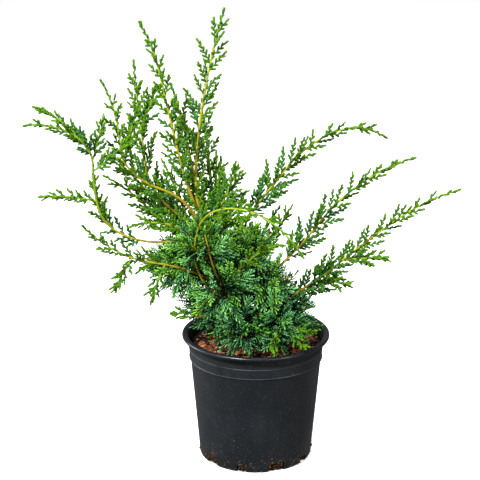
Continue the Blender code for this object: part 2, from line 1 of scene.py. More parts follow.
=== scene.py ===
"""Looks of a young Chinese juniper in a black nursery pot.

The shrub grows by the same rule as its solids: a shoot turns steadily through its bearings
and rises. Here the sprays stand closer together and carry branchlets of scale leaves.
Lengths are in millimetres until a mesh is made, and angles in degrees where nothing else is said.
"""

import json
import math
import random
from collections import namedtuple

import bmesh
import bpy
import numpy as np
from mathutils import Matrix, Vector

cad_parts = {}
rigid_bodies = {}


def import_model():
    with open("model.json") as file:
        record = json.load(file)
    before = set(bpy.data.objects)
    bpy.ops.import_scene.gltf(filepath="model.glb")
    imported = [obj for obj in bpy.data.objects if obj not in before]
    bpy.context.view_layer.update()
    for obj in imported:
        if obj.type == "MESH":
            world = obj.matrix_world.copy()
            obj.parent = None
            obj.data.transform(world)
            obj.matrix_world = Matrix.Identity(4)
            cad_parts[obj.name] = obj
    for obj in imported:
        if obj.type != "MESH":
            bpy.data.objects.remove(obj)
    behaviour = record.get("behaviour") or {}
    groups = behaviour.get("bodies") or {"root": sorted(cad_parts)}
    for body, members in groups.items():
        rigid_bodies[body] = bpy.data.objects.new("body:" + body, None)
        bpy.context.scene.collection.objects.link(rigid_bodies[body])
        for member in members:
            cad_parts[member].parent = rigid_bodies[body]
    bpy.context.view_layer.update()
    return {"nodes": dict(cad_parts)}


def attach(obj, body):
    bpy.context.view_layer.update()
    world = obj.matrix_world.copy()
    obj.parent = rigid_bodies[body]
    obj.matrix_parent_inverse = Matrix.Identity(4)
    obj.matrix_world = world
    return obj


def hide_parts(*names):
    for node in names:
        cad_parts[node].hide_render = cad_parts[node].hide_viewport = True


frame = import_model()

MM = 0.001
SEED = 29
UP = np.array([0.0, 0.0, 1.0])

# Pot and mix
POT_HEIGHT = 168.0
POT_SIDES = 144
POT_SHARP = 38.0
MERGED_WITHIN = 0.00002
WALL = 1.8
FLOOR = 3.0
BASE_RADIUS = 73.4
SHOULDER_RADIUS = 85.0
SHOULDER_HEIGHT = 134.5
BAND_RADIUS = 86.6
LIP_UNDERSIDE = 162.0
NECK_RADIUS = 87.4
RIM_RADIUS = 96.0
CREASE_HEIGHT = 148.0
NOTCHES = 10
NOTCH_TURN = 36.0
FIRST_NOTCH = -141.0
LARGE_NOTCH = (22.0, 9.0)
SMALL_NOTCH = (12.0, 6.0)
CUT_DEPTH = 15.0
CUT_OUT = 2.5
CUT_BELOW = 2.0
OVER_GROUND = 0.2
PLUG_GAP = 3.0
PLUG_SIZE = (8.0, 4.8)
PLUG_DEPTH = (2.6, 5.6)
SOIL_ROUGH = 0.3
CRUMBS = 300
CRUMB_SIZE = (0.5, 1.5)
MEAN_CRUMB = 9.0
HIGHEST_CRUMB = 52.0
NOTCH_CRUMBS = (0.6, 15.0)
NOTCH_SPREAD_RADIANS = 0.12
MIX_TOP = 154.0
MIX_RINGS = 43
MIX_SIDES = 128
CHIP_SHAPES = 6
CHIP_WIDTH = (420, 700)
CHIP_THICKNESS = (220, 380)
CHIP_ROUGH = 0.22
CHIP_TILT_RADIANS = 0.60
BIG_CHIP = (-47.0, -62.0, 158.0)
BIG_CHIP_SIZES = (21.0, 9.0, 6.0)
BIG_CHIP_TURN = -38.0
BIG_CHIP_TONE = 0.85

# Chips: name, number to a square metre, smallest and largest size in metres, seed
CHIPS = (
    ("small_chips", 15000.0, 0.004, 0.007, 2),
    ("chips", 15000.0, 0.008, 0.014, 5),
    ("large_chips", 3600.0, 0.014, 0.020, 9),
)

# Trunk
TRUNK_LENGTH = 258.0
TRUNK_BEARING = (192, 192, 192, 165, 60)
TRUNK_RISE = (75, 63, 64, 78, 83)
TRUNK_GIRTH = ((0, 10.5), (7, 7.6), (60, 6.2), (130, 4.2), (200, 2.2), (258, 1.55))
TRUNK_RINGS = ((0.0, 20.0, 18), (21.5, TRUNK_LENGTH, 158))
TRUNK_SIDES = 36
TRUNK_SUNK = 3.0
TRUNK_RIDGES = 0.085
TRUNK_FLAKES = 0.045

# Shoots: their stems' shape, and how green they are, from 0 to 1
LOOP_TIPS_GIRTH = (1.55, 0.9)
CORE_TIP = 0.5
FOOT_SHARE = 0.75
SLENDER = 60.0
LEAST_BARE = 0.45
SWOLLEN = 0.4
SWELL = 1.2
STEM_SIDES = 10
STEM_STEP = 2.2
STEM_RIDGES = 0.07
STEM_KNOTS = 0.06
YOUNG = (0.09, 0.36)
OTHER_YOUTHS = {"front_arch": 0.46, "loop_tips": 0.8}
RIPENING = 1.4
CORE_YOUTH = 0.25
SPRIG_YOUTH = 0.8
LONG_FORK = 100.0
LONG_FORK_BARE = 50.0
LONG_FORK_AGES = (0.17, 0.44)
FORK_BARE = 3.0

Shoot = namedtuple("Shoot", "name up length bare bearing rise reach forks core", defaults=((), 0.0))
Fork = namedtuple("Fork", "at length bearing rise reach")

# Name, height of the foot up the trunk, length, bare length, bearings, rises, longest spray, forks,
# and how far along a mound's stem its core lies
SHOOTS = (
    Shoot("lower_right_arc", 36, 330, 80, (-11, -13, -14, -13, -12), (24, 38, 43, 38, 20), 43,
          (Fork(150, 70, (-40, -30), (20, 10), 26), Fork(104, 58, (-48, -36), (16, 2), 26))),
    Shoot("middle_right_arc", 62, 296, 88, (2, 1, 1, 1, 1), (38, 46, 53, 36, 16), 41),
    Shoot("upper_right_arc", 110, 306, 115, (30, 15, 13, 11, 11), (78, 49, 51, 22, -38), 41),
    Shoot("front_arch", 66, 330, 125, (200, 215, 300, 325, 335, 330), (4, 64, 72, 20, -24, -55), 16,
          (Fork(168, 34, (-25, -15), (16, -6), 10), Fork(222, 28, (-45, -60), (-46, -64), 9),
           Fork(256, 22, (-5, -5), (-12, -24), 8))),
    Shoot("low_left", 80, 222, 60, (196, 194, 194, 196, 200), (30, 26, 12, 33, 50), 32,
          (Fork(98, 54, (245, 225), (-30, -75), 24), Fork(142, 50, (240, 215), (-25, -75), 23))),
    Shoot("left_tuft", 124, 142, 30, (210, 204, 199, 198), (50, 46, 16, -16), 42),
    Shoot("left_fan", 133, 175, 30, (168, 170, 167, 170), (40, 28, 42, 24), 36),
    Shoot("left_loop", 143, 234, 105, (196, 193, 196, 238, 275), (30, -2, 28, 70, 84), 26,
          (Fork(184, 72, (200, 184), (20, -4), 15), Fork(136, 74, (190, 205, 262), (58, 72, 80), 15),
           Fork(226, 66, (-10, 4), (38, 46), 17))),
    Shoot("left_back_fan", 150, 175, 30, (150, 158, 155, 160), (36, 30, 42, 24), 36),
    Shoot("curved_leader", 162, 255, 80, (167, 170, 122, 125, 105), (32, 40, 78, 77, 78), 45,
          (Fork(170, 58, (30, 10), (62, 72), 20),)),
    Shoot("swan_neck", 170, 256, 112, (214, 204, 192, 195, 235, 190, 185), (62, 50, 22, 46, 86, 76, 60),
          31, (Fork(150, 74, (-35, -30), (70, 74), 24),)),
    Shoot("left_leader", 188, 264, 75, (200, 195, 193, 193, 188), (64, 76, 78, 78, 60), 31),
    Shoot("middle_leader", 180, 180, 0, (110, 130, 140, 142, 150), (62, 76, 74, 72, 66), 37),
    Shoot("tall_leader", 258, 196, 0, (50, 25, 20, 15), (84, 80, 77, 72), 46),
    Shoot("short_right_plume", 152, 112, 0, (60, 75, 80), (62, 66, 58), 32,
          (Fork(30, 82, (-30, 0), (62, 70), 40), Fork(8, 66, (-10, 20), (42, 50), 36))),
    Shoot("front_right_shoot", 84, 145, 0, (-85, -52, -50, -46), (58, 40, 36, 12), 28),
    Shoot("right_back_shoot", 78, 130, 0, (60, 50, 45, 40), (50, 42, 48, 44), 19),
    Shoot("back_left_shoot", 96, 190, 30, (135, 130, 128, 130), (30, 40, 55, 45), 38),
    Shoot("back_shoot", 122, 175, 30, (96, 92, 90, 90), (26, 38, 50, 40), 28),
    Shoot("back_right_shoot", 92, 150, 30, (30, 52, 55, 55), (12, 26, 40, 32), 26),
    Shoot("back_leader", 140, 186, 0, (80, 100, 112, 116), (44, 66, 72, 66), 38),
    Shoot("front_left_shoot", 100, 120, 0, (-120, -130, -135, -135), (30, 45, 44, 20), 34),
    Shoot("mound_front", 24, 80, 0, (-98, -100), (24, -8), 35, (), 0.6),
    Shoot("mound_front_right", 30, 88, 0, (-52, -50), (22, -4), 32,
          (Fork(66, 48, (-112, -100), (-12, -36), 19), Fork(78, 40, (-60, -40), (-24, -34), 18),
           Fork(80, 36, (-10, 5), (-8, -16), 16)), 0.6),
    Shoot("mound_right", 18, 86, 0, (-8, -6), (34, 12), 33, (), 0.6),
    Shoot("mound_front_left", 33, 86, 0, (-145, -146), (26, 0), 25,
          (Fork(66, 46, (182, 182), (6, 6), 18),), 0.5),
    Shoot("mound_left", 40, 96, 0, (184, 182), (20, 6), 27, (), 0.48),
    Shoot("mound_back_left", 22, 84, 0, (132, 136), (36, 10), 36, (), 0.6),
    Shoot("mound_back", 34, 80, 0, (88, 90), (30, 8), 36, (), 0.6),
    Shoot("mound_back_right", 24, 84, 0, (42, 42), (34, 10), 36, (), 0.6),
    Shoot("upper_mound_front", 74, 80, 0, (-112, -112), (30, 14), 36,
          (Fork(44, 104, (195, 215, 205), (62, 76, 78), 24),), 0.6),
    Shoot("upper_mound_right", 70, 84, 0, (-22, -18), (34, 14), 31, (), 0.5),
    Shoot("upper_mound_left", 58, 92, 0, (160, 158), (34, 16), 36, (), 0.6),
    Shoot("upper_mound_back", 56, 84, 0, (108, 112), (40, 22), 36, (), 0.6),
    Shoot("left_mound", 90, 122, 0, (178, 184), (28, 4), 38, (), 0.52),
    Shoot("inner_right", 100, 84, 0, (0, 8), (54, 34), 29,
          (Fork(20, 62, (40, 30), (72, 76), 34), Fork(38, 42, (-10, 10), (74, 68), 26)), 0.46),
    Shoot("inner_front", 116, 78, 0, (234, 238), (40, 24), 39, (), 0.6),
)
LOOP_TIPS = Shoot("loop_tips", 0, 114, 16, (262, 205, 190, 190), (78, 46, 18, -6), 20,
                  (Fork(12, 96, (190, 180), (66, 20), 14), Fork(6, 56, (40, 10), (70, 76), 16)))

# Sprays along a stem: a pair of numbers is a range, or the values at the stem's foot and tip, and
# a pair of rows is places along the stem with the shares of the longest spray there
TURN = 137.5
TURN_VARIES = 18.0
SPRAY_START = (2.0, 6.0)
SPRAYS_TO = 0.86
FORK_GAP = 4.2
GAP_SHARES = (0.70, 1.45)
GAP_VARIES = (0.75, 1.25)
REACH_SHARES = ((0.0, 0.45, 0.75, 1.0), (1.0, 0.86, 0.58, 0.18))
ARC_SHARES = ((0.0, 0.30, 0.60, 1.0), (1.0, 0.80, 0.58, 0.20))
FILLED_SHARES = ((0.0, 1.0), (1.0, 0.75))
REACH_VARIES = (0.6, 1.0)
END_REACH = 3.0
END_REACH_GROWS = 0.8
SHORTEST_SPRAY = 7.0
SPRAY_WIDTH = (0.34, 0.28)
SPRAY_ROLL = 0.4
FLATTENED = 0.5
LEAN_FOOT = (29, 44)
LEAN_TIP = (14, 24)

# What depends on a shoot's name, by the first ending that fits: girths at the foot, at the end of
# the bare part and at the tip, how much of the bare part stays bare, the gap between sprays, how
# their length falls off, and how much wider they stand at the tip
GIRTHS = (("front_arch", (1.4, 1.25, 0.9)), ("left_loop", (1.95, 1.45, 1.55)), ("", (1.95, 1.45, 0.9)))
BARE_SHARES = (("upper_right_arc", 0.68), (("leader", "fan", "tuft", "neck"), 0.5), ("", 0.88))
SPRAY_GAPS = (("tall_leader", 8.0), (("leader", "fan", "tuft", "neck", "plume", "shoot"), 5.9), ("", 6.4))
FALL_OFFS = (("arc", ARC_SHARES), ("", REACH_SHARES))
OPENINGS = (("arc", 1.12), (("leader", "neck", "plume"), 1.42), ("", 1.25))

# Ribs of sprays and what they carry; a rib's radius is that at its foot, how it grows with the
# rib's length, and that at its tip
RIB_POINTS = 5
RIB_RADIUS = (0.75, 0.006, 0.70)
RIB_SWAY = 0.12
RIB_CURL = 0.10
RIB_LIFT = 0.05
FIRST_SIDE = (1.6, 3.6)
LAST_SIDE = 4.0
SIDE_SHARES = ((0.0, 0.12, 0.35, 1.0), (0.65, 1.0, 0.92, 0.30))
SIDE_VARIES = (0.8, 1.15)
SIDE_LEAN_VARIES = 4.0
SUB_SPRAY = 13.0
SUB_WIDTH = 0.9
SUB_GAP = 1.3
SUB_ROLL = 0.3
GIRTH_VARIES = (0.88, 1.1)
GIRTH_SHARE = 0.86
GIRTH_GROWS = 0.016
END_BRANCHLET = (7.0, 9.5)
END_LIGHTER = 0.16

# Short branchlets on a stem
TUFT_FROM = 2.0
TUFT_TO = 5.0
TUFT_LEAN = (24, 34)
TUFT_CLOSES = 14.0
TUFT_SIZE = (4.5, 8.5)
TUFT_GAP = (7.0, 3.6)
TUFT_GAP_AT = (0.5, 0.85)
TUFT_VARIES = (0.8, 1.2)
TUFT_LIGHTER = 0.05
TIP_BRANCHLET = 8.5
TIP_BACK = 6.5
TIP_LIGHTER = 0.1

# Mounds: sprays round a core, those on its stem, and the higher cores that have more of them
CORE_SPRAYS = 52
HIGH_SPRAYS = 16
HIGH_CORE = 85
CORE_SPREAD = (8, 128)
CORE_TURN_VARIES = 20.0
CORE_DEPTH = (5.0, 19.0)
CORE_TWIG = (0.8, 0.7)
CORE_SLANT = (15, 62)
CORE_VARIES = (0.75, 1.05)
CORE_WIDTH = 0.36
CORE_STEM_START = 4.0
CORE_STEM_GAP = 6.0
CORE_STEM_SPRAY = (16.0, 26.0)
CORE_STEM_LEAN = 0.4

# Branchlet shapes, and the most triangles in a piece made of them
PIECE_LIMIT = 190000
PLAIN_SHAPES = 3
TOOTHED_SHAPES = 6
SHAPE_LENGTH = 9.0
SHAPE_GIRTH = 2.1
FOOT_AT = (0.0, 0.3, 0.62)
FOOT_RADII = np.array([0.36, 0.46, 0.50])
TIP_AT = (0.56, 0.90, 1.0)
TIP_RADII = np.array([0.48, 0.48, 0.0])
TOOTH_RADII = np.array([0.30, 0.46, 0.0])
TOOTH_LEAN = (26, 34)
TOOTH_LENGTH = (3.0, 4.2)
TOOTH_BULGE = 0.72
FOOT_TEETH_TO = 0.42

# Stems that foliage leaves open to the front: name, and from where to where as shares of the length
SHOWN = (
    ("front_arch", 0.06, 1.0),
    ("left_loop", 0.28, 1.0),
    ("swan_neck", 0.1, 0.5),
    ("low_left", 0.16, 0.55),
    ("upper_mound_front_fork", 0.0, 0.8),
    ("tall_leader", 0.0, 0.6),
)
SHOWN_WIDTH = 2.9
SHOWN_DEPTH = 2.0

# How far foliage keeps off, and where a branchlet is checked besides its tip
OFF_POT = 1.0
OFF_RIM = 2.0
OFF_MIX = 2.0
CHECKED_AT = 0.4

# Leaf and twig colours, linear, from the darkest, which are painted shade for the shaded inside of the
# shrub, to its youngest tips
OPEN_LEAVES = (
    (0.008, 0.040, 0.012),
    (0.014, 0.072, 0.018),
    (0.025, 0.110, 0.025),
    (0.040, 0.148, 0.025),
    (0.060, 0.182, 0.018),
    (0.090, 0.216, 0.009),
    (0.128, 0.262, 0.006),
    (0.180, 0.320, 0.009),
)
YOUNG_LEAVES = (
    (0.010, 0.044, 0.004),
    (0.018, 0.076, 0.004),
    (0.030, 0.110, 0.007),
    (0.046, 0.144, 0.008),
    (0.068, 0.180, 0.008),
    (0.098, 0.218, 0.007),
    (0.132, 0.262, 0.005),
    (0.180, 0.320, 0.007),
)
OPEN_TWIGS = ((0.030, 0.080, 0.014), (0.110, 0.230, 0.014), (0.240, 0.380, 0.020))
DENSE_LEAVES = (
    (0.002, 0.006, 0.002),
    (0.014, 0.056, 0.023),
    (0.050, 0.180, 0.064),
    (0.092, 0.300, 0.096),
    (0.150, 0.430, 0.132),
    (0.230, 0.560, 0.175),
)
FRESH_LEAVES = (
    (0.002, 0.008, 0.002),
    (0.018, 0.072, 0.014),
    (0.056, 0.195, 0.026),
    (0.104, 0.310, 0.036),
    (0.175, 0.440, 0.052),
    (0.275, 0.570, 0.080),
)
DENSE_TWIGS = ((0.012, 0.026, 0.010), (0.060, 0.130, 0.036))

# Name, spacing, girth, angles at foot and tip, shortest length and unevenness of the branchlets on a rib,
# the length up to which they have no side tips, how much lighter they are at their own tips and at the
# rib's end, and the colours
Style = namedtuple("Style", "name gap girth angle shortest tilt plain lighter outward leaves twigs")
OPEN = Style("open", (2.9, 3.9), 3.15, (30, 20), 6.5, 6.0, 11.0, 0.21, 0.12, OPEN_LEAVES, OPEN_TWIGS)
YOUNGER = OPEN._replace(name="young", leaves=YOUNG_LEAVES)
YOUNGER_SHARE = (0.0, 1.7)
DENSE = Style("dense", (2.2, 2.9), 1.6, (42, 26), 9.5, 24.0, 10.5, 0.18, 0.44, DENSE_LEAVES, DENSE_TWIGS)
FRESH = DENSE._replace(name="fresh", leaves=FRESH_LEAVES)
FRESH_SHARE = (0.3, 0.65)
FRESH_HEIGHTS = (30, 100)

# Tones from 0 for the darkest colour to 1 for the lightest, from the foot of a stem to its tip;
# those in the table go by the ending of a shoot's name
TONES = (
    (("front_arch", "left_loop", "loop_tips"), (0.29, 0.39, 0.50)),
    ("arc", (0.34, 0.41, 0.49)),
    ("", (0.47, 0.44, 0.41)),
)
BACK_TONES = (0.38, 0.46, 0.56)
# Mounds that start low on the trunk take darker tones than the higher ones: painted shade low in the shrub
LOW_CORE_TONES = (0.06, 0.20, 0.38)
HIGH_CORE_TONES = (0.19, 0.38, 0.55)
HIGH_TONES_FROM = 50
SPRIG_TONES = (0.3, 0.5)
FRESH_SPRIG_TONES = (0.34, 0.50)

# Sprays on parts of the trunk's path: bare length, longest spray, tones, gap, how the length falls
# off, and the share of their depth that they keep
TOP_SPRAYS = (64.0, 44.0, (0.42, 0.50, 0.55), 4.2, REACH_SHARES, 1.0)
# The dense sprays on the low part of the trunk, deep inside the mounds, take near-black tones: painted shade
LOW_TRUNK = slice(0, 20)
LOW_SPRAYS = (12.0, 36.0, (0.06, 0.14, 0.20), 4.0, REACH_SHARES, 1.0)
MIDDLE_TRUNK = slice(16, 48)
MIDDLE_SPRAYS = (4.0, 42.0, (0.24, 0.44, 0.55), 4.2, FILLED_SHARES, 1.0)

# Camera, and lights by name, place, size and power
CAMERA_RISE = 18.0
CAMERA_DISTANCE = 2.2
CAMERA_TARGET = (-0.0205, 0.0, 0.2927)
CAMERA_LENS = 129.05
CAMERA_SENSOR = 36.0
CAMERA_SIGHT = 60.0
TOWARDS_VIEWER = np.array([0.0, -math.cos(math.radians(CAMERA_RISE)), math.sin(math.radians(CAMERA_RISE))])
WORLD_LIGHT = 0.21
GROUND_SIZE = 12.0
GROUND_DROP = 0.0005
GROUND_GLOW = 0.55
LIGHTS = (
    ("key_light", (-1.2, -1.7, 2.1), 0.5, 152.0),
    ("fill_light", (1.6, -1.8, 1.0), 1.2, 36.0),
    ("edge_light", (-2.0, 0.5, 0.5), 1.0, 36.0),
    ("top_light", (0.3, 0.9, 2.4), 0.9, 45.0),
)


# Shader maths

class Wire:
    """An output socket on which + - * and powers add Math nodes."""

    def __init__(self, socket):
        self.socket = socket

    def math(self, operation, first, second):
        return node(self.socket.id_data, "ShaderNodeMath", {"operation": operation}, {0: first, 1: second})

    def __add__(self, other):
        return self.math("ADD", self, other)

    def __radd__(self, other):
        return self.math("ADD", other, self)

    def __sub__(self, other):
        return self.math("SUBTRACT", self, other)

    def __rsub__(self, other):
        return self.math("SUBTRACT", other, self)

    def __mul__(self, other):
        return self.math("MULTIPLY", self, other)

    def __rmul__(self, other):
        return self.math("MULTIPLY", other, self)

    def __pow__(self, other):
        return self.math("POWER", self, other)


def node(tree, kind, settings=None, inputs=None, output=None):
    """A node whose settings are made first, and then its sockets' values or links."""
    made = tree.nodes.new(kind)
    for name, value in (settings or {}).items():
        if name == "stops":
            ramp = made.color_ramp.elements
            while len(ramp) < len(value):
                ramp.new(0.5)
            for stop, (position, colour) in zip(ramp, value):
                stop.position = position
                stop.color = (*colour, 1.0)
        else:
            setattr(made, name, value)
    for name, value in (inputs or {}).items():
        if isinstance(value, Wire):
            tree.links.new(value.socket, made.inputs[name])
        else:
            made.inputs[name].default_value = value
    if output is None:
        return Wire(next(socket for socket in made.outputs if socket.enabled))
    return Wire(made.outputs[output])


class Finish:
    """A Principled material that is put together socket by socket."""

    def __init__(self, name, **constants):
        self.material = bpy.data.materials.new(name)
        self.material.use_nodes = True
        self.tree = self.material.node_tree
        self.shader = self.tree.nodes["Principled BSDF"]
        for socket, value in constants.items():
            self.shader.inputs[socket.replace("_", " ")].default_value = value

    def node(self, kind, settings=None, inputs=None, output=None):
        return node(self.tree, kind, settings, inputs, output)

    def spot(self):
        return self.node("ShaderNodeTexCoord", output="Object")

    def axis(self, where, number):
        return self.node("ShaderNodeSeparateXYZ", None, {0: where}, number)

    def noise(self, where, scale, detail=3.0):
        return self.node("ShaderNodeTexNoise", None,
                         {"Vector": where, "Scale": scale, "Detail": detail, "Roughness": 0.55})

    def stretch(self, where, scale):
        return self.node("ShaderNodeMapping", None, {"Vector": where, "Scale": scale})

    def step(self, value, low, high):
        return self.node("ShaderNodeMapRange", {"interpolation_type": "SMOOTHSTEP"},
                         {"Value": value, "From Min": low, "From Max": high})

    def mix(self, share, first, second):
        return self.node("ShaderNodeMix", {"data_type": "RGBA"},
                         {"Factor": share, 6: as_colour(first), 7: as_colour(second)})

    def ramp(self, value, stops):
        return self.node("ShaderNodeValToRGB", {"stops": stops}, {"Fac": value})

    def attribute(self, name):
        return self.node("ShaderNodeAttribute", {"attribute_name": name}, output="Fac")

    def bump(self, height, strength, distance):
        return self.node("ShaderNodeBump", None,
                         {"Height": height, "Strength": strength, "Distance": distance})

    def feed(self, socket, value):
        self.tree.links.new(value.socket, self.shader.inputs[socket])


def as_colour(value):
    """A colour with its alpha, or a wire as it is."""
    return value if isinstance(value, Wire) else (*value, 1.0)


# Finishes

def leaf_finish(name, colour):
    """Scale leaves in one plain green, matt."""
    return Finish(name, Base_Color=as_colour(colour), Roughness=0.6, Specular_IOR_Level=0.04).material


def shoot_finish():
    """Young bark: brown at the foot of a shoot, ochre in the middle and yellow-green at the tip."""
    made = Finish("young_bark", Specular_IOR_Level=0.15)
    spot = made.spot()
    youth = made.attribute("along")
    colour = made.ramp(youth + 0.16 * (made.noise(spot, 90.0) - 0.5), (
        (0.0, (0.110, 0.045, 0.014)),
        (0.12, (0.200, 0.088, 0.016)),
        (0.30, (0.340, 0.205, 0.014)),
        (0.52, (0.350, 0.310, 0.013)),
        (0.78, (0.260, 0.370, 0.014)),
        (1.0, (0.110, 0.270, 0.014)),
    ))
    speckle = made.step(made.noise(spot, 700.0, 4.0), 0.52, 0.7)
    made.feed("Base Color", made.mix(speckle * 0.4, colour, (0.13, 0.070, 0.015)))
    made.feed("Roughness", 0.62 - 0.2 * youth)
    made.feed("Normal", made.bump(made.noise(spot, 520.0, 4.0), 0.6, 0.0006))
    return made.material


def bark_finish():
    """Old bark that peels in strips, grey-brown over orange, and is ochre higher up."""
    made = Finish("old_bark", Roughness=0.85, Specular_IOR_Level=0.2)
    spot = made.spot()
    grain = made.noise(made.stretch(spot, (420.0, 420.0, 46.0)), 1.0, 6.0)
    colour = made.ramp(grain, (
        (0.30, (0.030, 0.014, 0.008)),
        (0.48, (0.120, 0.050, 0.022)),
        (0.62, (0.230, 0.105, 0.045)),
        (0.78, (0.300, 0.200, 0.130)),
    ))
    high = made.step(made.axis(spot, 2), 0.22, 0.34)
    made.feed("Base Color", made.mix(0.85 * high, colour, (0.400, 0.250, 0.016)))
    made.feed("Normal", made.bump(grain, 0.9, 0.0015))
    return made.material


def pot_finish():
    """Charcoal moulded plastic: fine pale specks, faint scuffs, and dust low on the wall; painted shade on
    the inner wall and on the lip, and painted highlight lines at the crease and the shoulder.
    """
    made = Finish("nursery_pot_plastic", Specular_IOR_Level=0.34)
    spot = made.spot()
    aside, deep, height = (made.axis(spot, number) for number in range(3))
    out = (aside * aside + deep * deep) ** 0.5
    inside = (1.0 - made.step(out, 0.0868, 0.0884)) * made.step(height, 0.149, 0.152)
    lip = made.step(height, 0.161, 0.164)
    cloud = made.noise(spot, 22.0, 4.0)
    body = made.mix(made.step(cloud, 0.3, 0.75), (0.0066, 0.0086, 0.0108), (0.0105, 0.0130, 0.0158))
    # Painted shade: the lip's top is made darker and bluer, tinted like the bluish reflections on it.
    body = made.mix(lip * 0.7, body, (0.0022, 0.0036, 0.0060))
    # Painted shade: the inner wall under the lip is made near black.
    body = made.mix(inside * 0.9, body, (0.0010, 0.0012, 0.0014))
    # Painted highlights: thin pale lines in patches along the crease and the shoulder bead.
    for level in (CREASE_HEIGHT + 0.3, SHOULDER_HEIGHT + 1.2):
        apart = height - level * MM
        line = (1.0 - made.step(apart * apart, 0.0, 0.0007 ** 2)) * made.step(cloud, 0.3, 0.6)
        body = made.mix(line * 0.6, body, (0.060, 0.066, 0.072))
    speck = made.step(made.noise(spot, 640.0, 2.0), 0.64, 0.73)
    specked = made.mix(speck * 0.40, body, (0.16, 0.17, 0.18))
    dust = made.step(made.noise(spot, 330.0, 4.0), 0.60, 0.68) * (1.0 - made.step(height, 0.004, 0.040))
    made.feed("Base Color", made.mix(dust * 0.75, specked, (0.23, 0.115, 0.045)))
    scuff = made.step(made.noise(made.stretch(spot, (60.0, 60.0, 14.0)), 1.0, 5.0), 0.35, 0.7)
    made.feed("Roughness", 0.40 + 0.16 * scuff + 0.3 * dust + 0.3 * inside - 0.10 * lip)
    made.feed("Normal", made.bump(made.noise(spot, 1400.0, 3.0), 0.16, 0.0003))
    return made.material


def chip_finish():
    """Reddish-brown bark chips, each with a tone of its own."""
    made = Finish("bark_chips", Roughness=0.82, Specular_IOR_Level=0.3)
    colour = made.ramp(made.attribute("tone"), (
        (0.0, (0.030, 0.010, 0.005)),
        (0.35, (0.150, 0.046, 0.017)),
        (0.70, (0.340, 0.120, 0.045)),
        (1.0, (0.560, 0.250, 0.120)),
    ))
    grain = made.noise(made.stretch(made.spot(), (260.0, 700.0, 700.0)), 1.0, 5.0)
    made.feed("Base Color", made.mix(made.step(grain, 0.45, 0.75) * 0.6, colour, (0.035, 0.015, 0.009)))
    made.feed("Normal", made.bump(grain, 0.9, 0.001))
    return made.material


def soil_finish(name, dark, light):
    """Damp crumbly soil."""
    made = Finish(name, Roughness=0.95, Specular_IOR_Level=0.15)
    grain = made.noise(made.spot(), 420.0, 5.0)
    made.feed("Base Color", made.mix(made.step(grain, 0.4, 0.7), dark, light))
    made.feed("Normal", made.bump(grain, 1.0, 0.002))
    return made.material


def floor_finish():
    """A plain white studio floor that glows a little."""
    return Finish("studio_floor", Base_Color=(0.92, 0.92, 0.92, 1.0), Roughness=0.9, Specular_IOR_Level=0.1,
                  Emission_Color=(1.0, 1.0, 1.0, 1.0), Emission_Strength=GROUND_GLOW).material


# Meshes

def put(name, data):
    """An object of its own for a mesh, a light or a camera, in the scene."""
    obj = bpy.data.objects.new(name, data)
    bpy.context.scene.collection.objects.link(obj)
    return obj


def kept_mesh(name, shape):
    """A mesh of an edited shape, which is then freed."""
    mesh = bpy.data.meshes.new(name)
    shape.to_mesh(mesh)
    shape.free()
    return mesh


def apply_modifiers(obj):
    """Replace an object's mesh by what its modifiers make of it."""
    graph = bpy.context.evaluated_depsgraph_get()
    mesh = bpy.data.meshes.new_from_object(obj.evaluated_get(graph))
    obj.modifiers.clear()
    obj.data = mesh


class Heap:
    """Vertices and faces of many small shapes, gathered for one mesh."""

    def __init__(self):
        self.verts = []
        self.corners = []
        self.sizes = []
        self.values = []
        self.count = 0

    def add(self, verts, faces, value=0.0):
        """Add one shape: an array of points, arrays of faces, and a value for every point."""
        for face in faces:
            self.corners.append((face + self.count).ravel())
            self.sizes.append(np.full(len(face), face.shape[1]))
        self.verts.append(verts)
        self.values.append(np.broadcast_to(value, len(verts)))
        self.count += len(verts)

    def build(self, name, finish, attribute=None, smooth=True):
        """One object, with the values kept as a point attribute where it is named."""
        verts = np.vstack(self.verts) * MM
        corners = np.concatenate(self.corners)
        sizes = np.concatenate(self.sizes)
        mesh = bpy.data.meshes.new(name)
        mesh.vertices.add(len(verts))
        mesh.vertices.foreach_set("co", verts.astype(np.float32).ravel())
        mesh.loops.add(len(corners))
        mesh.loops.foreach_set("vertex_index", corners.astype(np.int32))
        mesh.polygons.add(len(sizes))
        mesh.polygons.foreach_set("loop_start", (np.cumsum(sizes) - sizes).astype(np.int32))
        if attribute:
            values = np.concatenate(self.values).astype(np.float32)
            mesh.attributes.new(attribute, "FLOAT", "POINT").data.foreach_set("value", values)
        mesh.update(calc_edges=True)
        mesh.materials.append(finish)
        if smooth:
            mesh.shade_smooth()
        return put(name, mesh)


def build_one(name, finish, shape, smooth=True):
    """One object from the vertices and faces of a single shape."""
    heap = Heap()
    heap.add(*shape)
    return heap.build(name, finish, smooth=smooth)


def vary(rng, most):
    """A random number up to a limit on either side of nought."""
    return rng.uniform(-most, most)


def unit(way):
    """A vector cut to a length of one."""
    return way / math.sqrt(way.dot(way))


def squared(vector, way):
    """The unit vector square to a way that comes nearest to a vector."""
    return unit(vector - way * vector.dot(way))


def across(way):
    """Two unit vectors square to a way and to each other."""
    guide = UP if abs(way[2]) < 0.9 else np.array([0.0, 1.0, 0.0])
    side = unit(np.cross(way, guide))
    return side, np.cross(side, way)


def tilted(way, towards, angle):
    """A unit vector turned by an angle towards another that is square to it."""
    angle = math.radians(angle)
    return way * math.cos(angle) + towards * math.sin(angle)


def round_about(way, roll):
    """The unit vector square to a way at a roll round it."""
    return tilted(*across(way), roll)


def ring_angles(sides):
    """The angles of a ring's corners in radians, in one row."""
    return math.tau * np.arange(sides)[None] / sides


def spokes(side, up, sides):
    """Unit vectors from the middle of a ring to its corners."""
    angles = ring_angles(sides)
    return np.outer(np.cos(angles), side) + np.outer(np.sin(angles), up)


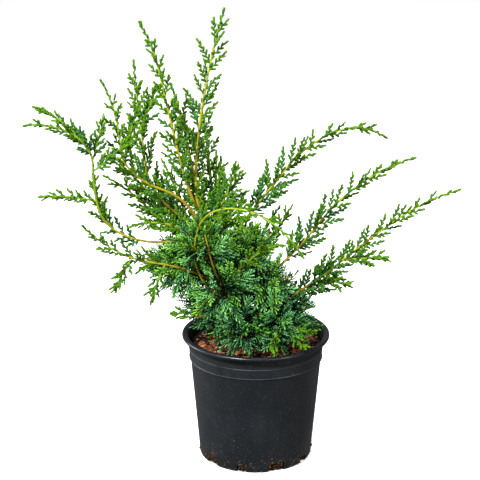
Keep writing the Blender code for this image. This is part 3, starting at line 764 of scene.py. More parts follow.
def ring_faces(rings, sides):
    """Quads between rings of points that follow each other."""
    first = np.arange(rings - 1)[:, None] * sides
    low = (first + np.arange(sides)).ravel()
    after = (first + (np.arange(sides) + 1) % sides).ravel()
    return np.stack([low, low + sides, after + sides, after], axis=1)


def fan(point, ring):
    """Triangles from a point to every side of a ring."""
    return np.stack([np.full(len(ring), point), ring, np.roll(ring, -1)], axis=1)


def tube(path, radii, sides):
    """Vertices and faces of a closed tube; the radii may differ round every ring."""
    count = len(path)
    radii = np.asarray(radii, float)
    if radii.ndim == 1:
        radii = np.repeat(radii[:, None], sides, axis=1)
    rings = np.empty((count, sides, 3))
    side = across(path[1] - path[0])[0]
    for number in range(count):
        way = unit(path[min(number + 1, count - 1)] - path[max(number - 1, 0)])
        side = squared(side, way)
        rings[number] = path[number] + spokes(side, np.cross(side, way), sides) * radii[number][:, None]
    verts = np.vstack([rings.reshape(-1, 3), path[0], path[-1]])
    ring = np.arange(sides)
    last = ring + (count - 1) * sides
    ends = np.vstack([fan(count * sides, ring), fan(count * sides + 1, last[::-1])])
    return verts, (ring_faces(count, sides), ends)


def whip(path, radii, sides, pointed):
    """Vertices and faces of a small closed tube that ends in a point or flat."""
    around = spokes(*across(unit(path[1] - path[0])), sides)
    count = len(path) - pointed
    rings = [path[k] + around * radii[k] for k in range(count)]
    verts = np.vstack([*rings, path[-1]] if pointed else rings)
    ring = np.arange(sides)
    last = (ring + (count - 1) * sides)[::-1]
    end = fan(len(verts) - 1, last) if pointed else last[None]
    return verts, (ring_faces(count, sides), end, ring[None])


# Limbs

def spread(values, share):
    """The value at a share of the way through evenly spread values."""
    return np.interp(share, np.linspace(0, 1, len(values)), values)


def heading(bearing, rise):
    """Unit vectors for bearings and rises."""
    b = np.radians(bearing)
    r = np.radians(rise)
    return np.stack([np.cos(r) * np.cos(b), np.cos(r) * np.sin(b), np.sin(r)], axis=-1)


def limb_path(start, limb, step=4.0):
    """Points along a limb that turns steadily through its bearings and rises."""
    count = max(4, round(limb.length / step))
    middle = (np.arange(count) + 0.5) / count
    ways = heading(spread(limb.bearing, middle), spread(limb.rise, middle))
    return np.vstack([start, start + np.cumsum(ways, axis=0) * limb.length / count])


def distances(path):
    """How far along a path each of its points lies."""
    steps = np.linalg.norm(np.diff(path, axis=0), axis=1)
    return np.concatenate([[0.0], np.cumsum(steps)])


def place(path, distance):
    """The points at distances along a path."""
    run = distances(path)
    return np.stack([np.interp(distance, run, path[:, axis]) for axis in range(3)], axis=-1)


def direction(path, distance, look=2.0):
    """The way a path runs at a distance along it."""
    return unit(place(path, distance + look) - place(path, distance - look))


def by_name(shoot, table):
    """The value beside the first ending in a table that fits a shoot's name."""
    return next(value for ending, value in table if shoot.name.endswith(ending))


def trunk_radius(up):
    """The trunk's radius at a distance along it."""
    marks, radii = zip(*TRUNK_GIRTH)
    return np.interp(up, marks, radii)


def shoot_radius(shoot, along):
    """A shoot's radius, from its foot on the trunk over its bare part to its tip."""
    if shoot is LOOP_TIPS:
        return np.interp(along, (0.0, shoot.length), LOOP_TIPS_GIRTH)
    foot, end, tip = by_name(shoot, GIRTHS)
    foot = min(foot, FOOT_SHARE * trunk_radius(shoot.up), shoot.length / SLENDER)
    if shoot.name == "tall_leader":
        foot = trunk_radius(shoot.up)
    if shoot.core:
        tip = CORE_TIP
    bare = max(shoot.bare, LEAST_BARE * shoot.length)
    return np.interp(along, (0.0, bare * SWOLLEN, bare, shoot.length),
                     (foot, min(foot, end * SWELL), min(foot, end), tip))


# Foliage

class Foliage:
    """Green ribs and branchlets, sorted by tone; a branchlet is kept as a place, a turn and a size.

    Younger foliage takes its place on a share of the sprays.
    """

    def __init__(self, rng, shown, style, younger=None):
        self.rng = rng
        self.shown = shown
        self.style = style
        self.younger = younger or self
        self.leaves = [[] for colour in style.leaves]
        self.ribs = [Heap() for colour in style.twigs]

    def pick(self, chance):
        """The younger foliage with a chance, or else this one."""
        return self.younger if self.rng.random() < chance else self

    def toned(self, kinds, tone):
        """The one of several kinds that suits a tone, give or take a little."""
        number = tone * len(kinds) + vary(self.rng, 0.5)
        return kinds[int(np.clip(number, 0, len(kinds) - 0.01))]

    def clear(self, point):
        """Whether a point keeps off the mix and the pot, and out of the way of the stems that show."""
        apart = point - self.shown
        ahead = apart @ TOWARDS_VIEWER
        aside = np.linalg.norm(apart - ahead[:, None] * TOWARDS_VIEWER, axis=1)
        if np.any((ahead > SHOWN_DEPTH) & (aside < SHOWN_WIDTH)):
            return False
        out = math.hypot(point[0], point[1])
        if out < SHOULDER_RADIUS - WALL - OFF_POT:
            return point[2] > MIX_TOP + OFF_MIX
        return out > RIM_RADIUS + OFF_RIM or point[2] > POT_HEIGHT + OFF_POT

    def branchlet(self, root, way, flat, length, girth, tone):
        """One branchlet with its side tips square to flat, its tip lighter than its foot."""
        if not self.clear(root + way * length) or not self.clear(root + way * length * CHECKED_AT):
            return
        flat = squared(flat, way)
        turn = Matrix(np.stack([np.cross(flat, way), flat, way], axis=1).tolist()).to_quaternion()
        if length < self.style.plain:
            shape = self.rng.randrange(PLAIN_SHAPES)
        else:
            shape = PLAIN_SHAPES + self.rng.randrange(TOOTHED_SHAPES)
        row = (*(root * MM), *turn, girth * MM, girth * MM, length * MM)
        for part, change in enumerate((-self.style.lighter / 2, self.style.lighter / 2)):
            self.toned(self.leaves, tone + change).append((*row, 2 * shape + part))

    def spray(self, root, way, flat, length, width, tone, wide=1.0):
        """A feather square to flat; side shoots past a length are feathers themselves."""
        rng = self.rng
        style = self.style
        bend = np.cross(flat, way) * vary(rng, RIB_SWAY) + flat * vary(rng, RIB_CURL) + UP * RIB_LIFT
        share = np.linspace(0, 1, RIB_POINTS)[:, None]
        rib = root + way * length * share + bend * length * share ** 2
        if not self.clear(rib[-1]) or not self.clear(rib[RIB_POINTS // 2]):
            return
        radii = np.linspace(RIB_RADIUS[0] + length * RIB_RADIUS[1], RIB_RADIUS[2], RIB_POINTS)
        self.toned(self.ribs, tone).add(*tube(rib, radii, 4))
        total = distances(rib)[-1]
        distance = rng.uniform(*FIRST_SIDE)
        hand = rng.choice((-1, 1))
        while distance < total - LAST_SIDE:
            along = distance / total
            hand = -hand
            ahead = direction(rib, distance)
            level = squared(flat, ahead)
            out = tilted(np.cross(level, ahead) * hand, level, rng.gauss(0, style.tilt))
            to = tilted(ahead, out, spread(style.angle, along) * wide + vary(rng, SIDE_LEAN_VARIES))
            size = length * width * np.interp(along, *SIDE_SHARES) * rng.uniform(*SIDE_VARIES)
            size = max(size, style.shortest)
            lit = tone + style.outward * along
            if size > SUB_SPRAY:
                level = unit(level + out * vary(rng, SUB_ROLL))
                self.spray(place(rib, distance), to, level, size, width * SUB_WIDTH, lit, wide)
                distance += rng.uniform(*style.gap) * SUB_GAP
            else:
                girth = style.girth * rng.uniform(*GIRTH_VARIES) * (GIRTH_SHARE + GIRTH_GROWS * size)
                self.branchlet(place(rib, distance), to, level, size, girth, lit)
                distance += rng.uniform(*style.gap)
        self.branchlet(place(rib, total - 3.0), direction(rib, total - 1.0), flat,
                       rng.uniform(*END_BRANCHLET), style.girth, tone + END_LIGHTER)

    def along_stem(self, path, first, reach, tones, gap, shares=REACH_SHARES, squash=FLATTENED, opening=1.0):
        """Sprays round a stem, longer and closer at its foot, and short branchlets between them."""
        rng = self.rng
        total = distances(path)[-1]
        distance = first + rng.uniform(*SPRAY_START)
        roll = rng.uniform(0, 360)
        while distance < first + (total - first) * SPRAYS_TO:
            share = (distance - first) / (total - first)
            roll += TURN + vary(rng, TURN_VARIES)
            way = direction(path, distance)
            out = squared(round_about(way, roll) * (1.0, squash, 1.0), way)
            wide = spread((1.0, opening), share)
            lean = spread((rng.uniform(*LEAN_FOOT), rng.uniform(*LEAN_TIP)), share) * wide
            size = reach * np.interp(share, *shares) * rng.uniform(*REACH_VARIES)
            size = min(size, (total - distance) * END_REACH_GROWS + END_REACH)
            ahead = tilted(way, out, lean)
            flat = np.cross(way, out) + out * vary(rng, SPRAY_ROLL)
            kind = self.pick(spread(YOUNGER_SHARE, share))
            kind.spray(place(path, distance), ahead, squared(flat, ahead), max(size, SHORTEST_SPRAY),
                       spread(SPRAY_WIDTH, share), spread(tones, share), wide)
            distance += gap * spread(GAP_SHARES, share) * rng.uniform(*GAP_VARIES)
        distance = first + TUFT_FROM
        while distance < total - TUFT_TO:
            share = (distance - first) / (total - first)
            roll += TURN
            way = direction(path, distance)
            out = round_about(way, roll)
            to = tilted(way, out, rng.uniform(*TUFT_LEAN) - TUFT_CLOSES * share)
            kind = self.pick(spread(YOUNGER_SHARE, share))
            kind.branchlet(place(path, distance), to, out, rng.uniform(*TUFT_SIZE), self.style.girth,
                           spread(tones, share) + TUFT_LIGHTER)
            distance += np.interp(share, TUFT_GAP_AT, TUFT_GAP) * rng.uniform(*TUFT_VARIES)
        self.younger.branchlet(place(path, total - TIP_BACK), direction(path, total - 2.0), UP + 0.1,
                               TIP_BRANCHLET, self.style.girth, tones[-1] + TIP_LIGHTER)

    def round_core(self, path, shoot, tones):
        """Slanting sprays on twigs out of the middle of a mound, some fresh, and short ones on its stem."""
        rng = self.rng
        middle = distances(path)[-1] * shoot.core
        centre = place(path, middle)
        way = direction(path, middle)
        count = CORE_SPRAYS + (HIGH_SPRAYS if shoot.up > HIGH_CORE else 0)
        for number in range(count):
            around = round_about(way, TURN * number + vary(rng, CORE_TURN_VARIES))
            out = tilted(way, around, np.interp(number, (0, count), CORE_SPREAD))
            root = centre + out * rng.uniform(*CORE_DEPTH)
            self.ribs[0].add(*tube(np.array([centre, root]), CORE_TWIG, 4))
            slant = rng.uniform(*CORE_SLANT)
            ahead = tilted(out, round_about(out, rng.uniform(0, 360)), slant)
            size = shoot.reach * rng.uniform(*CORE_VARIES)
            kind = self.pick(np.interp(shoot.up, FRESH_HEIGHTS, FRESH_SHARE))
            kind.spray(root, ahead, round_about(ahead, rng.uniform(0, 360)), size, CORE_WIDTH,
                       spread(tones, rng.random()))
        # The sprays on the stem inside the mound take the core's darkest tone: painted shade.
        for number, distance in enumerate(np.arange(CORE_STEM_START, middle, CORE_STEM_GAP), 1):
            out = unit(round_about(way, TURN * number) + way * CORE_STEM_LEAN)
            self.spray(place(path, distance), out, round_about(out, rng.uniform(0, 360)),
                       rng.uniform(*CORE_STEM_SPRAY), CORE_WIDTH, tones[0])


def branchlet_shapes(number, teeth, rng):
    """The foot and the tip of a branchlet, one unit long and thick, with side tips to both hands."""
    sway = np.array([rng.uniform(-0.6, 0.6), rng.uniform(-0.4, 0.4), 0.0])

    def middle(up):
        return np.array([0.0, 0.0, SHAPE_LENGTH * up]) + sway * up ** 2

    foot = Heap()
    foot.add(*whip(np.array([middle(up) for up in FOOT_AT]), SHAPE_GIRTH * FOOT_RADII, 4, False))
    tip = Heap()
    tip.add(*whip(np.array([middle(up) for up in TIP_AT]), SHAPE_GIRTH * TIP_RADII, 4, True))
    hand = rng.choice((-1, 1))
    for tooth in range(teeth):
        hand = -hand
        up = 0.20 + 0.50 * (tooth + rng.uniform(0.1, 0.6)) / teeth
        lean = math.radians(rng.uniform(*TOOTH_LEAN))
        flat = math.sin(lean)
        way = unit(np.array([hand * flat, flat * rng.uniform(-0.35, 0.35), math.cos(lean)]))
        reach = rng.uniform(*TOOTH_LENGTH) * (1.2 - 0.5 * up)
        line = np.array([middle(up), middle(up) + way * reach * TOOTH_BULGE, middle(up) + way * reach])
        (tip if up > FOOT_TEETH_TO else foot).add(*whip(line, SHAPE_GIRTH * TOOTH_RADII, 3, True))
    shrink = Matrix.Diagonal((1 / (SHAPE_GIRTH * MM), 1 / (SHAPE_GIRTH * MM), 1 / (SHAPE_LENGTH * MM), 1.0))
    made = [foot.build(f"shape_{2 * number:02d}", None), tip.build(f"shape_{2 * number + 1:02d}", None)]
    for shape in made:
        shape.data.transform(shrink)
    return made


# Geometry Nodes

def geometry_tree(name, inputs):
    """An empty node tree with a geometry socket at both ends and named inputs."""
    tree = bpy.data.node_groups.new(name, "GeometryNodeTree")
    tree.interface.new_socket("Geometry", in_out="INPUT", socket_type="NodeSocketGeometry")
    tree.interface.new_socket("Geometry", in_out="OUTPUT", socket_type="NodeSocketGeometry")
    for label, kind in inputs:
        tree.interface.new_socket(label, in_out="INPUT", socket_type="NodeSocket" + kind)
    start = tree.nodes.new("NodeGroupInput")
    return tree, {socket.name: Wire(socket) for socket in start.outputs if socket.name}


def close_tree(tree, geometry, finish):
    """End a tree in Realize Instances and Set Material."""
    real = node(tree, "GeometryNodeRealizeInstances", None, {"Geometry": geometry})
    painted = node(tree, "GeometryNodeSetMaterial", None, {"Geometry": real, "Material": finish})
    end = tree.nodes.new("NodeGroupOutput")
    tree.links.new(painted.socket, end.inputs["Geometry"])


def run_tree(obj, tree, values):
    """Run a tree on an object with values for its named inputs, and keep what it makes as a plain mesh."""
    step = obj.modifiers.new(tree.name, "NODES")
    step.node_group = tree
    for item in tree.interface.items_tree:
        if item.in_out == "INPUT" and item.name in values:
            step[item.identifier] = values[item.name]
    apply_modifiers(obj)
    return obj


def instances(tree, points, shapes, **sockets):
    """The shapes of a collection on points, one picked for each."""
    shapes = node(tree, "GeometryNodeCollectionInfo", None,
                  {"Collection": shapes, "Separate Children": True, "Reset Children": True})
    given = {name.replace("_", " "): value for name, value in sockets.items()}
    return node(tree, "GeometryNodeInstanceOnPoints", None,
                {"Points": points, "Instance": shapes, "Pick Instance": True, **given})


def branchlet_tree():
    """A branchlet on every point, picked, turned and sized by the point's own values."""
    tree, given = geometry_tree("branchlets", (("Shapes", "Collection"), ("Finish", "Material")))
    turn, size, pick = (
        node(tree, "GeometryNodeInputNamedAttribute", {"data_type": kind}, {"Name": name})
        for name, kind in (("turn", "QUATERNION"), ("size", "FLOAT_VECTOR"), ("shape", "INT")))
    made = instances(tree, given["Geometry"], given["Shapes"],
                     Instance_Index=pick, Rotation=turn, Scale=size)
    close_tree(tree, made, given["Finish"])
    return tree


def chip_tree():
    """Chips strewn over a surface at random turns, tilts and sizes, each with a tone of its own."""
    tree, given = geometry_tree("bark_chips", (
        ("Chips", "Collection"), ("Density", "Float"), ("Smallest", "Float"), ("Largest", "Float"),
        ("Tilt", "Float"), ("Seed", "Int"), ("Finish", "Material")))

    def chance(kind, inputs):
        return node(tree, "FunctionNodeRandomValue", {"data_type": kind}, inputs)

    points = node(tree, "GeometryNodeDistributePointsOnFaces", None,
                  {"Mesh": given["Geometry"], "Density": given["Density"], "Seed": given["Seed"]})
    tilt = given["Tilt"]
    low = node(tree, "ShaderNodeCombineXYZ", None, {"X": -1.0 * tilt, "Y": -1.0 * tilt, "Z": 0.0})
    high = node(tree, "ShaderNodeCombineXYZ", None, {"X": tilt, "Y": tilt, "Z": math.tau})
    made = instances(
        tree, points, given["Chips"],
        Instance_Index=chance("INT", {4: 0, 5: 99, "Seed": 7}),
        Rotation=chance("FLOAT_VECTOR", {"Min": low, "Max": high, "Seed": 3}),
        Scale=chance("FLOAT", {2: given["Smallest"], 3: given["Largest"], "Seed": 5}))
    tone = chance("FLOAT", {2: 0.0, 3: 1.0, "Seed": 11})
    kept = node(tree, "GeometryNodeStoreNamedAttribute", {"data_type": "FLOAT", "domain": "INSTANCE"},
                {"Geometry": made, "Name": "tone", "Value": tone})
    close_tree(tree, kept, given["Finish"])
    return tree


def shape_collection(name, shapes):
    """Put shapes into a collection of their own that isn't in the scene."""
    kept = bpy.data.collections.new(name)
    for shape in shapes:
        kept.objects.link(shape)
        bpy.context.scene.collection.objects.unlink(shape)
    return kept


def discard(collection):
    """Delete a collection with its shapes."""
    for shape in list(collection.objects):
        bpy.data.objects.remove(shape, do_unlink=True)
    bpy.data.collections.remove(collection)


# Plant

def ripple(along, around, rng, waves, drift):
    """Uneven ridges that run along a limb and wander a little round it."""
    total = np.zeros(np.broadcast(along, around).shape)
    for number in waves:
        sway = rng.uniform(0.5, 1.0) * np.sin(along * rng.uniform(0.6, 1.4) / drift + rng.uniform(0, 6.3))
        total += np.sin(number * around + sway * 2.2 + rng.uniform(0, 6.3)) * rng.uniform(0.5, 1.0)
    return total / len(waves)


def make_trunk(path, rng):
    """The trunk with its root flare and ridged, peeling bark."""
    marks = np.concatenate([np.linspace(*rings) for rings in TRUNK_RINGS])
    around = ring_angles(TRUNK_SIDES)
    ridges = ripple(marks[:, None], around, rng, (3, 5, 7, 8, 11), 26.0)
    flakes = ripple(marks[:, None] * 3.1, around, rng, (9, 13, 14), 21.0)
    radii = trunk_radius(marks)[:, None] * (1 + TRUNK_RIDGES * ridges + TRUNK_FLAKES * np.abs(flakes))
    line = place(path, marks)
    line[0, 2] -= TRUNK_SUNK
    return build_one("trunk_bark", bark_finish(), tube(line, radii, TRUNK_SIDES))


def add_shoot(heap, shoot, path, rng, youth, tip=1.0):
    """A shoot's stem from its foot to its tip, with faint ridges and the nodes of old leaves."""
    total = distances(path)[-1]
    marks = np.linspace(0.0, total - 2.0, max(8, round(total / STEM_STEP)))
    around = ring_angles(STEM_SIDES)
    ridges = ripple(marks[:, None], around, rng, (2, 3, 4), 12.0)
    knots = np.sin(marks[:, None] * 1.3 + 2.0 * around)
    radii = shoot_radius(shoot, marks)[:, None] * (1 + STEM_RIDGES * ridges + STEM_KNOTS * knots)
    age = youth + (tip - youth) * (marks / total) ** RIPENING
    if shoot.core:
        age = age * CORE_YOUTH
    values = np.concatenate([np.repeat(age, STEM_SIDES), age[:1], age[-1:]])
    heap.add(*tube(place(path, marks), radii, STEM_SIDES), values)


def tones_of(shoot):
    """How the sprays lighten from the foot of a stem to its tip."""
    if shoot.core:
        return HIGH_CORE_TONES if shoot.up > HIGH_TONES_FROM else LOW_CORE_TONES
    return BACK_TONES if shoot.name.startswith("back") else by_name(shoot, TONES)


def youth_of(shoot):
    """How green a shoot's foot is: the higher up the trunk, the younger."""
    return OTHER_YOUTHS.get(shoot.name, spread(YOUNG, shoot.up / TRUNK_LENGTH))


def limbs(trunk):
    """The shoots with their paths, and the forks with path, parent shoot and share of its length."""
    grown = []
    for shoot in SHOOTS:
        grown.append((shoot, limb_path(place(trunk, shoot.up), shoot)))
        if shoot.name == "left_loop":
            grown.append((LOOP_TIPS, limb_path(grown[-1][1][-1], LOOP_TIPS)))
    forks = []
    for shoot, path in grown:
        for fork in shoot.forks:
            side = Shoot(f"{shoot.name}_fork", TRUNK_LENGTH, fork.length, 0, *fork[2:])
            forks.append((side, limb_path(place(path, fork.at), side), shoot, fork.at / shoot.length))
    return grown, forks


def grow(rng):
    """Grow the whole shrub: the trunk's path, the open and the dense foliage, and all stems."""
    trunk = limb_path(np.array([0.0, 0.0, MIX_TOP + 0.3]),
                      Shoot("trunk", 0, TRUNK_LENGTH, 0, TRUNK_BEARING, TRUNK_RISE, 0))
    grown, forks = limbs(trunk)
    paths = {shoot.name: path for shoot, path, *rest in grown + forks}
    shown = np.vstack([place(paths[name], np.arange(first, last, 0.01) * distances(paths[name])[-1])
                       for name, first, last in SHOWN])
    open_foliage = Foliage(rng, shown, OPEN, Foliage(rng, shown, YOUNGER))
    dense_foliage = Foliage(rng, shown, DENSE, Foliage(rng, shown, FRESH))
    stems = Heap()
    open_foliage.along_stem(trunk, *TOP_SPRAYS)
    dense_foliage.along_stem(trunk[LOW_TRUNK], *LOW_SPRAYS)
    dense_foliage.along_stem(trunk[MIDDLE_TRUNK], *MIDDLE_SPRAYS)
    for shoot, path in grown:
        add_shoot(stems, shoot, path, rng, youth_of(shoot))
        if shoot.core:
            dense_foliage.round_core(path, shoot, tones_of(shoot))
        else:
            open_foliage.along_stem(path, shoot.bare * by_name(shoot, BARE_SHARES), shoot.reach,
                                    tones_of(shoot), by_name(shoot, SPRAY_GAPS),
                                    by_name(shoot, FALL_OFFS), opening=by_name(shoot, OPENINGS))
    for side, path, shoot, share in forks:
        youth = youth_of(shoot)
        ages = (youth + (1 - youth) * share,)
        tones = tones_of(shoot)
        lit = (spread(tones, share), tones[-1])
        bare = FORK_BARE
        if side.length > LONG_FORK:
            ages = LONG_FORK_AGES
            bare = LONG_FORK_BARE
        elif shoot.core:
            ages = (SPRIG_YOUTH,)
            lit = FRESH_SPRIG_TONES if shoot.name == "mound_front_right" else SPRIG_TONES
        add_shoot(stems, side, path, rng, *ages)
        open_foliage.along_stem(path, bare, side.reach, lit, FORK_GAP)
    return trunk, open_foliage, dense_foliage, stems


def make_shapes(rng):
    """The collection of branchlet feet and tips, and how many triangles each has."""
    shapes = []
    for number in range(PLAIN_SHAPES + TOOTHED_SHAPES):
        teeth = 0 if number < PLAIN_SHAPES else 1 + number % 3
        shapes += branchlet_shapes(number, teeth, rng)
    costs = np.array([sum(len(face.vertices) - 2 for face in shape.data.polygons) for shape in shapes])
    return shape_collection("branchlet_shapes", shapes), costs


def branchlet_piece(name, rows, tree, shapes, finish):
    """Points that carry a turn, a size and a shape, and the branchlets made on them."""
    mesh = bpy.data.meshes.new(name)
    mesh.vertices.add(len(rows))
    mesh.vertices.foreach_set("co", rows[:, :3].astype(np.float32).ravel())
    mesh.attributes.new("turn", "QUATERNION", "POINT").data.foreach_set("value", rows[:, 3:7].ravel())
    mesh.attributes.new("size", "FLOAT_VECTOR", "POINT").data.foreach_set("vector", rows[:, 7:10].ravel())
    mesh.attributes.new("shape", "INT", "POINT").data.foreach_set("value", rows[:, 10].astype(int))
    obj = run_tree(put(name, mesh), tree, {"Shapes": shapes, "Finish": finish})
    for attribute in ("turn", "size", "shape"):
        if attribute in obj.data.attributes:
            obj.data.attributes.remove(obj.data.attributes[attribute])
    obj.data.shade_smooth()
    return obj


def make_leaves(foliage, shapes, costs):
    """Pieces of branchlets, one tone each and none over the limit of triangles, and then the twigs."""
    tree = branchlet_tree()
    style = foliage.style
    pieces = []
    for tone, (rows, colour) in enumerate(zip(foliage.leaves, style.leaves)):
        if not rows:
            continue
        rows = np.array(rows)
        finish = leaf_finish(f"{style.name}_leaf_{tone}", colour)
        run = np.cumsum(costs[rows[:, 10].astype(int)])
        for part in np.split(rows, np.searchsorted(run, np.arange(PIECE_LIMIT, run[-1], PIECE_LIMIT))):
            name = f"{style.name}_leaves_{len(pieces):02d}"
            pieces.append(branchlet_piece(name, part, tree, shapes, finish))
    for tone, (heap, colour) in enumerate(zip(foliage.ribs, style.twigs)):
        if heap.count:
            name = f"{style.name}_twigs_{tone}"
            pieces.append(heap.build(name, leaf_finish(name, colour)))
    return pieces


# Pot

def wall_radius(height):
    """The pot's outer radius at a height below the collar."""
    return np.interp(height, (2.5, SHOULDER_HEIGHT), (BASE_RADIUS, SHOULDER_RADIUS))


def pot_profile():
    """Outline of wall, collar, crease, rolled lip and inside, from the middle of the underside."""
    lip = [(RIM_RADIUS - 3.0 + 3.0 * math.cos(a), POT_HEIGHT - 3.0 + 3.0 * math.sin(a))
           for a in np.radians((-20, 10, 40, 65, 90))]
    crease = [(NECK_RADIUS - 0.45 + out, CREASE_HEIGHT + up)
              for out, up in ((0, -1.8), (0, -0.9), (0.4, -0.4), (0.4, 0.1), (0, 0.5), (0, 1.4))]
    return (
        (0.0, 0.0), (BASE_RADIUS - 3.0, 0.0), (BASE_RADIUS - 0.9, 0.6), (BASE_RADIUS, 2.5),
        (wall_radius(60.0), 60.0), (SHOULDER_RADIUS - 0.1, SHOULDER_HEIGHT - 1.2),
        (SHOULDER_RADIUS + 0.2, SHOULDER_HEIGHT - 0.2), (BAND_RADIUS, SHOULDER_HEIGHT + 0.5),
        (BAND_RADIUS + 0.35, SHOULDER_HEIGHT + 0.8), (BAND_RADIUS + 0.35, SHOULDER_HEIGHT + 1.2),
        (BAND_RADIUS, SHOULDER_HEIGHT + 1.7), (BAND_RADIUS + 0.03, SHOULDER_HEIGHT + 2.5), *crease,
        (NECK_RADIUS - 0.1, LIP_UNDERSIDE - 3.0), (NECK_RADIUS, LIP_UNDERSIDE - 1.0),
        (NECK_RADIUS + 0.8, LIP_UNDERSIDE), (RIM_RADIUS - 2.6, LIP_UNDERSIDE + 0.1),
        (RIM_RADIUS - 1.0, LIP_UNDERSIDE + 0.8), (RIM_RADIUS - 0.2, LIP_UNDERSIDE + 2.0), *lip,
        (NECK_RADIUS + 3.6, POT_HEIGHT - 0.2), (NECK_RADIUS + 2.0, POT_HEIGHT - 1.0),
        (NECK_RADIUS + 0.6, POT_HEIGHT - 2.6), (NECK_RADIUS - WALL, POT_HEIGHT - 8.0),
        (BAND_RADIUS - WALL, SHOULDER_HEIGHT + 1.8), (SHOULDER_RADIUS - WALL, SHOULDER_HEIGHT),
        (BASE_RADIUS - WALL, FLOOR), (0.0, FLOOR),
    )


def turned_pot():
    """The pot's outline turned about the vertical."""
    mesh = bpy.data.meshes.new("nursery_pot")
    points = [(radius * MM, 0.0, height * MM) for radius, height in pot_profile()]
    mesh.from_pydata(points, [(k, k + 1) for k in range(len(points) - 1)], [])
    pot = put("nursery_pot", mesh)
    turn = pot.modifiers.new("turn", "SCREW")
    turn.steps = POT_SIDES
    turn.render_steps = POT_SIDES
    turn.use_merge_vertices = True
    turn.merge_threshold = MERGED_WITHIN
    apply_modifiers(pot)
    shape = bmesh.new()
    shape.from_mesh(pot.data)
    bmesh.ops.remove_doubles(shape, verts=shape.verts, dist=MERGED_WITHIN)
    bmesh.ops.recalc_face_normals(shape, faces=shape.faces)
    shape.to_mesh(pot.data)
    shape.free()
    return pot


def notches():
    """Width, height and bearing in radians of every drain notch."""
    for number in range(NOTCHES):
        width, height = SMALL_NOTCH if number % 2 else LARGE_NOTCH
        yield width, height, math.radians(FIRST_NOTCH + number * NOTCH_TURN)


def make_pot():
    """The turned pot with its drain notches."""
    pot = turned_pot()
    pot.data.materials.append(pot_finish())
    for width, height, angle in notches():
        shape = bmesh.new()
        tall = FLOOR + height + CUT_BELOW
        sides = Vector((CUT_DEPTH, width, tall)) * MM
        centre = Vector((BASE_RADIUS + CUT_OUT, 0.0, tall / 2 - CUT_BELOW)) * MM
        turn = Matrix.Rotation(angle, 4, "Z") @ Matrix.Translation(centre) @ Matrix.Diagonal(sides).to_4x4()
        bmesh.ops.create_cube(shape, size=1.0, matrix=turn)
        cutter = put("notch", kept_mesh("notch", shape))
        step = pot.modifiers.new("notch", "BOOLEAN")
        step.operation = "DIFFERENCE"
        step.solver = "EXACT"
        step.object = cutter
        apply_modifiers(pot)
        bpy.data.objects.remove(cutter, do_unlink=True)
    pot.data.shade_smooth()
    pot.data.set_sharp_from_angle(angle=math.radians(POT_SHARP))
    return pot


def lump(rng, sizes, rounds, rough):
    """Vertices and faces of an uneven lump of given sizes."""
    shape = bmesh.new()
    bmesh.ops.create_icosphere(shape, subdivisions=rounds, radius=1.0)
    verts = np.array([tuple(vert.co * rng.uniform(1 - rough, 1 + rough)) for vert in shape.verts])
    faces = np.array([[vert.index for vert in face.verts] for face in shape.faces])
    shape.free()
    return verts * np.array(sizes) / 2, [faces]


def turn_about(verts, angle):
    """Turn points about the vertical by an angle in radians."""
    cos, sin = math.cos(angle), math.sin(angle)
    return verts @ np.array([[cos, sin, 0.0], [-sin, cos, 0.0], [0.0, 0.0, 1.0]])


def add_lump(heap, shape, spot, angle):
    """A lump at a spot of the pot's foot, kept off the ground and turned to a bearing in radians."""
    verts, faces = shape
    verts = np.maximum(verts + np.array(spot), (-math.inf, -math.inf, OVER_GROUND))
    heap.add(turn_about(verts, angle), faces)


def make_soil(rng):
    """Soil that shows in the drain notches, and crumbs that cling to the foot of the wall."""
    plugs = Heap()
    for width, height, angle in notches():
        for number in range(round(width / PLUG_GAP)):
            aside = (number + 0.5) * PLUG_GAP - width / 2 + rng.uniform(-0.8, 0.8)
            tall = (height + FLOOR) * rng.uniform(0.6, 1.0)
            shape = lump(rng, (*PLUG_SIZE, tall), 2, SOIL_ROUGH)
            spot = (BASE_RADIUS - rng.uniform(*PLUG_DEPTH), aside, height + FLOOR - tall / 2)
            add_lump(plugs, shape, spot, angle)
    crumbs = Heap()
    for number in range(CRUMBS):
        height = min(rng.expovariate(1 / MEAN_CRUMB), HIGHEST_CRUMB) + 1.0
        bearing = rng.uniform(0, math.tau)
        if number % 2:
            near = rng.choice(list(notches()))[2]
            bearing = near + rng.gauss(0.0, NOTCH_SPREAD_RADIANS)
            height = rng.uniform(*NOTCH_CRUMBS)
        size = rng.uniform(*CRUMB_SIZE)
        shape = lump(rng, (size * 0.8, size * rng.uniform(0.8, 1.7), size), 1, SOIL_ROUGH)
        add_lump(crumbs, shape, (wall_radius(height) + 0.1 * size, 0.0, height), bearing)
    dark = soil_finish("damp_soil", (0.008, 0.004, 0.003), (0.060, 0.028, 0.013))
    light = soil_finish("soil_crumbs", (0.060, 0.030, 0.015), (0.300, 0.170, 0.085))
    return plugs.build("notch_soil", dark), crumbs.build("soil_crumbs", light, smooth=False)


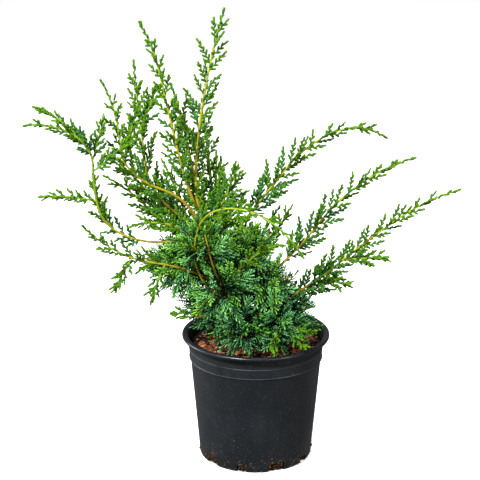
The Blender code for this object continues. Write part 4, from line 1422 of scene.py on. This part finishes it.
def make_mix_surface(edge, rng):
    """The gently uneven top of the mix, out to its edge."""
    out = np.linspace(0.0, edge, MIX_RINGS + 1)[1:, None]
    around = ring_angles(MIX_SIDES)
    swell = 1.5 * np.sin(out / 9.0 + 3 * np.sin(around)) * np.sin(around * 5 + out / 14.0)
    grain = np.array([[rng.uniform(-0.7, 0.7) for corner in range(MIX_SIDES)] for ring in range(MIX_RINGS)])
    height = MIX_TOP - 1.6 + swell * np.clip(out / 40.0, 0, 1) + grain
    points = np.stack([out * np.cos(around), out * np.sin(around), height], axis=2).reshape(-1, 3)
    verts = np.vstack([points, (0.0, 0.0, MIX_TOP - 1.0)])
    faces = (ring_faces(MIX_RINGS, MIX_SIDES), fan(len(points), np.arange(MIX_SIDES)))
    # The mix's soil is damp and dark, and is made near black as painted shade in the gaps between the chips.
    finish = soil_finish("mix_soil", (0.006, 0.003, 0.002), (0.030, 0.013, 0.008))
    return build_one("mix_surface", finish, (verts, faces))


def make_mix(rng):
    """The surface of the mix with bark chips strewn over it in three sizes, and one big chip."""
    edge = BAND_RADIUS - WALL - 0.4
    soil = make_mix_surface(edge, rng)
    shapes = []
    for number in range(CHIP_SHAPES):
        shape = lump(rng, (1 / MM, rng.uniform(*CHIP_WIDTH), rng.uniform(*CHIP_THICKNESS)), 1, CHIP_ROUGH)
        shapes.append(build_one(f"chip_{number}", None, shape, smooth=False))
    kept = shape_collection("chip_shapes", shapes)
    tree = chip_tree()
    finish = chip_finish()
    pieces = [soil]
    for name, density, smallest, largest, seed in CHIPS:
        top = put(name, soil.data.copy())
        inside = 1 - largest / (2 * edge * MM)
        top.data.transform(Matrix.Diagonal((inside, inside, 1.0, 1.0)))
        pieces.append(run_tree(top, tree, {
            "Chips": kept, "Density": density, "Smallest": smallest, "Largest": largest,
            "Tilt": CHIP_TILT_RADIANS, "Seed": seed, "Finish": finish}))
    discard(kept)
    verts, faces = lump(rng, BIG_CHIP_SIZES, 2, 0.12)
    chip = Heap()
    chip.add(turn_about(verts, math.radians(BIG_CHIP_TURN)) + BIG_CHIP, faces, BIG_CHIP_TONE)
    return [*pieces, chip.build("big_chip", finish, "tone", smooth=False)]


# Stage

def make_stage():
    """A plain white floor, soft studio light and the camera."""
    shape = bmesh.new()
    bmesh.ops.create_grid(shape, x_segments=1, y_segments=1, size=GROUND_SIZE)
    floor = put("studio_floor", kept_mesh("studio_floor", shape))
    floor.data.materials.append(floor_finish())
    floor.location.z = -GROUND_DROP
    floor.visible_diffuse = False
    floor.visible_glossy = False
    world = bpy.data.worlds.new("studio")
    world.use_nodes = True
    light = world.node_tree.nodes["Background"]
    light.inputs["Color"].default_value = (1.0, 1.0, 1.0, 1.0)
    light.inputs["Strength"].default_value = WORLD_LIGHT
    bpy.context.scene.world = world
    target = Vector(CAMERA_TARGET)
    for name, spot, size, energy in LIGHTS:
        lamp = bpy.data.lights.new(name, "AREA")
        lamp.size = size
        lamp.energy = energy
        obj = put(name, lamp)
        obj.location = spot
        obj.rotation_euler = (target - Vector(spot)).to_track_quat("-Z", "Y").to_euler()
    lens = bpy.data.cameras.new("camera")
    lens.lens = CAMERA_LENS
    lens.sensor_width = CAMERA_SENSOR
    lens.clip_end = CAMERA_SIGHT
    camera = put("camera", lens)
    camera.location = target + Vector(TOWARDS_VIEWER) * CAMERA_DISTANCE
    camera.rotation_euler = (math.pi / 2 - math.radians(CAMERA_RISE), 0.0, 0.0)
    bpy.context.scene.camera = camera
    bpy.context.scene.view_settings.view_transform = "Standard"


# Scene

def names_ending(ending):
    """The nodes whose names have an ending."""
    return [name for name in frame["nodes"] if name.endswith(ending)]


def settle(piece, slot, *nodes):
    """Let a piece ride on the part's one body and stand for nodes; the slot is not used."""
    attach(piece, "root")
    if nodes:
        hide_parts(*nodes)


make_stage()
rng = random.Random(SEED)
trunk_path, open_foliage, dense_foliage, stems = grow(rng)
settle(make_trunk(trunk_path, rng), "trunk_bark", "trunk")
settle(stems.build("shoots", shoot_finish(), "along"), "bough_bark", *names_ending("_bough"))
shapes, costs = make_shapes(rng)
inner = [f"{shoot.name}_foliage" for shoot in SHOOTS if shoot.core]
outer = [name for name in names_ending("_foliage") if name not in inner]
for older, slot, nodes in ((open_foliage, "foliage", outer), (dense_foliage, "inner_foliage", inner)):
    for foliage in (older, older.younger):
        for piece in make_leaves(foliage, shapes, costs):
            settle(piece, slot, *nodes)
discard(shapes)
settle(make_pot(), "pot", "pot")
for piece in (*make_soil(rng), *make_mix(rng)):
    settle(piece, "potting_mix", "potting_mix")
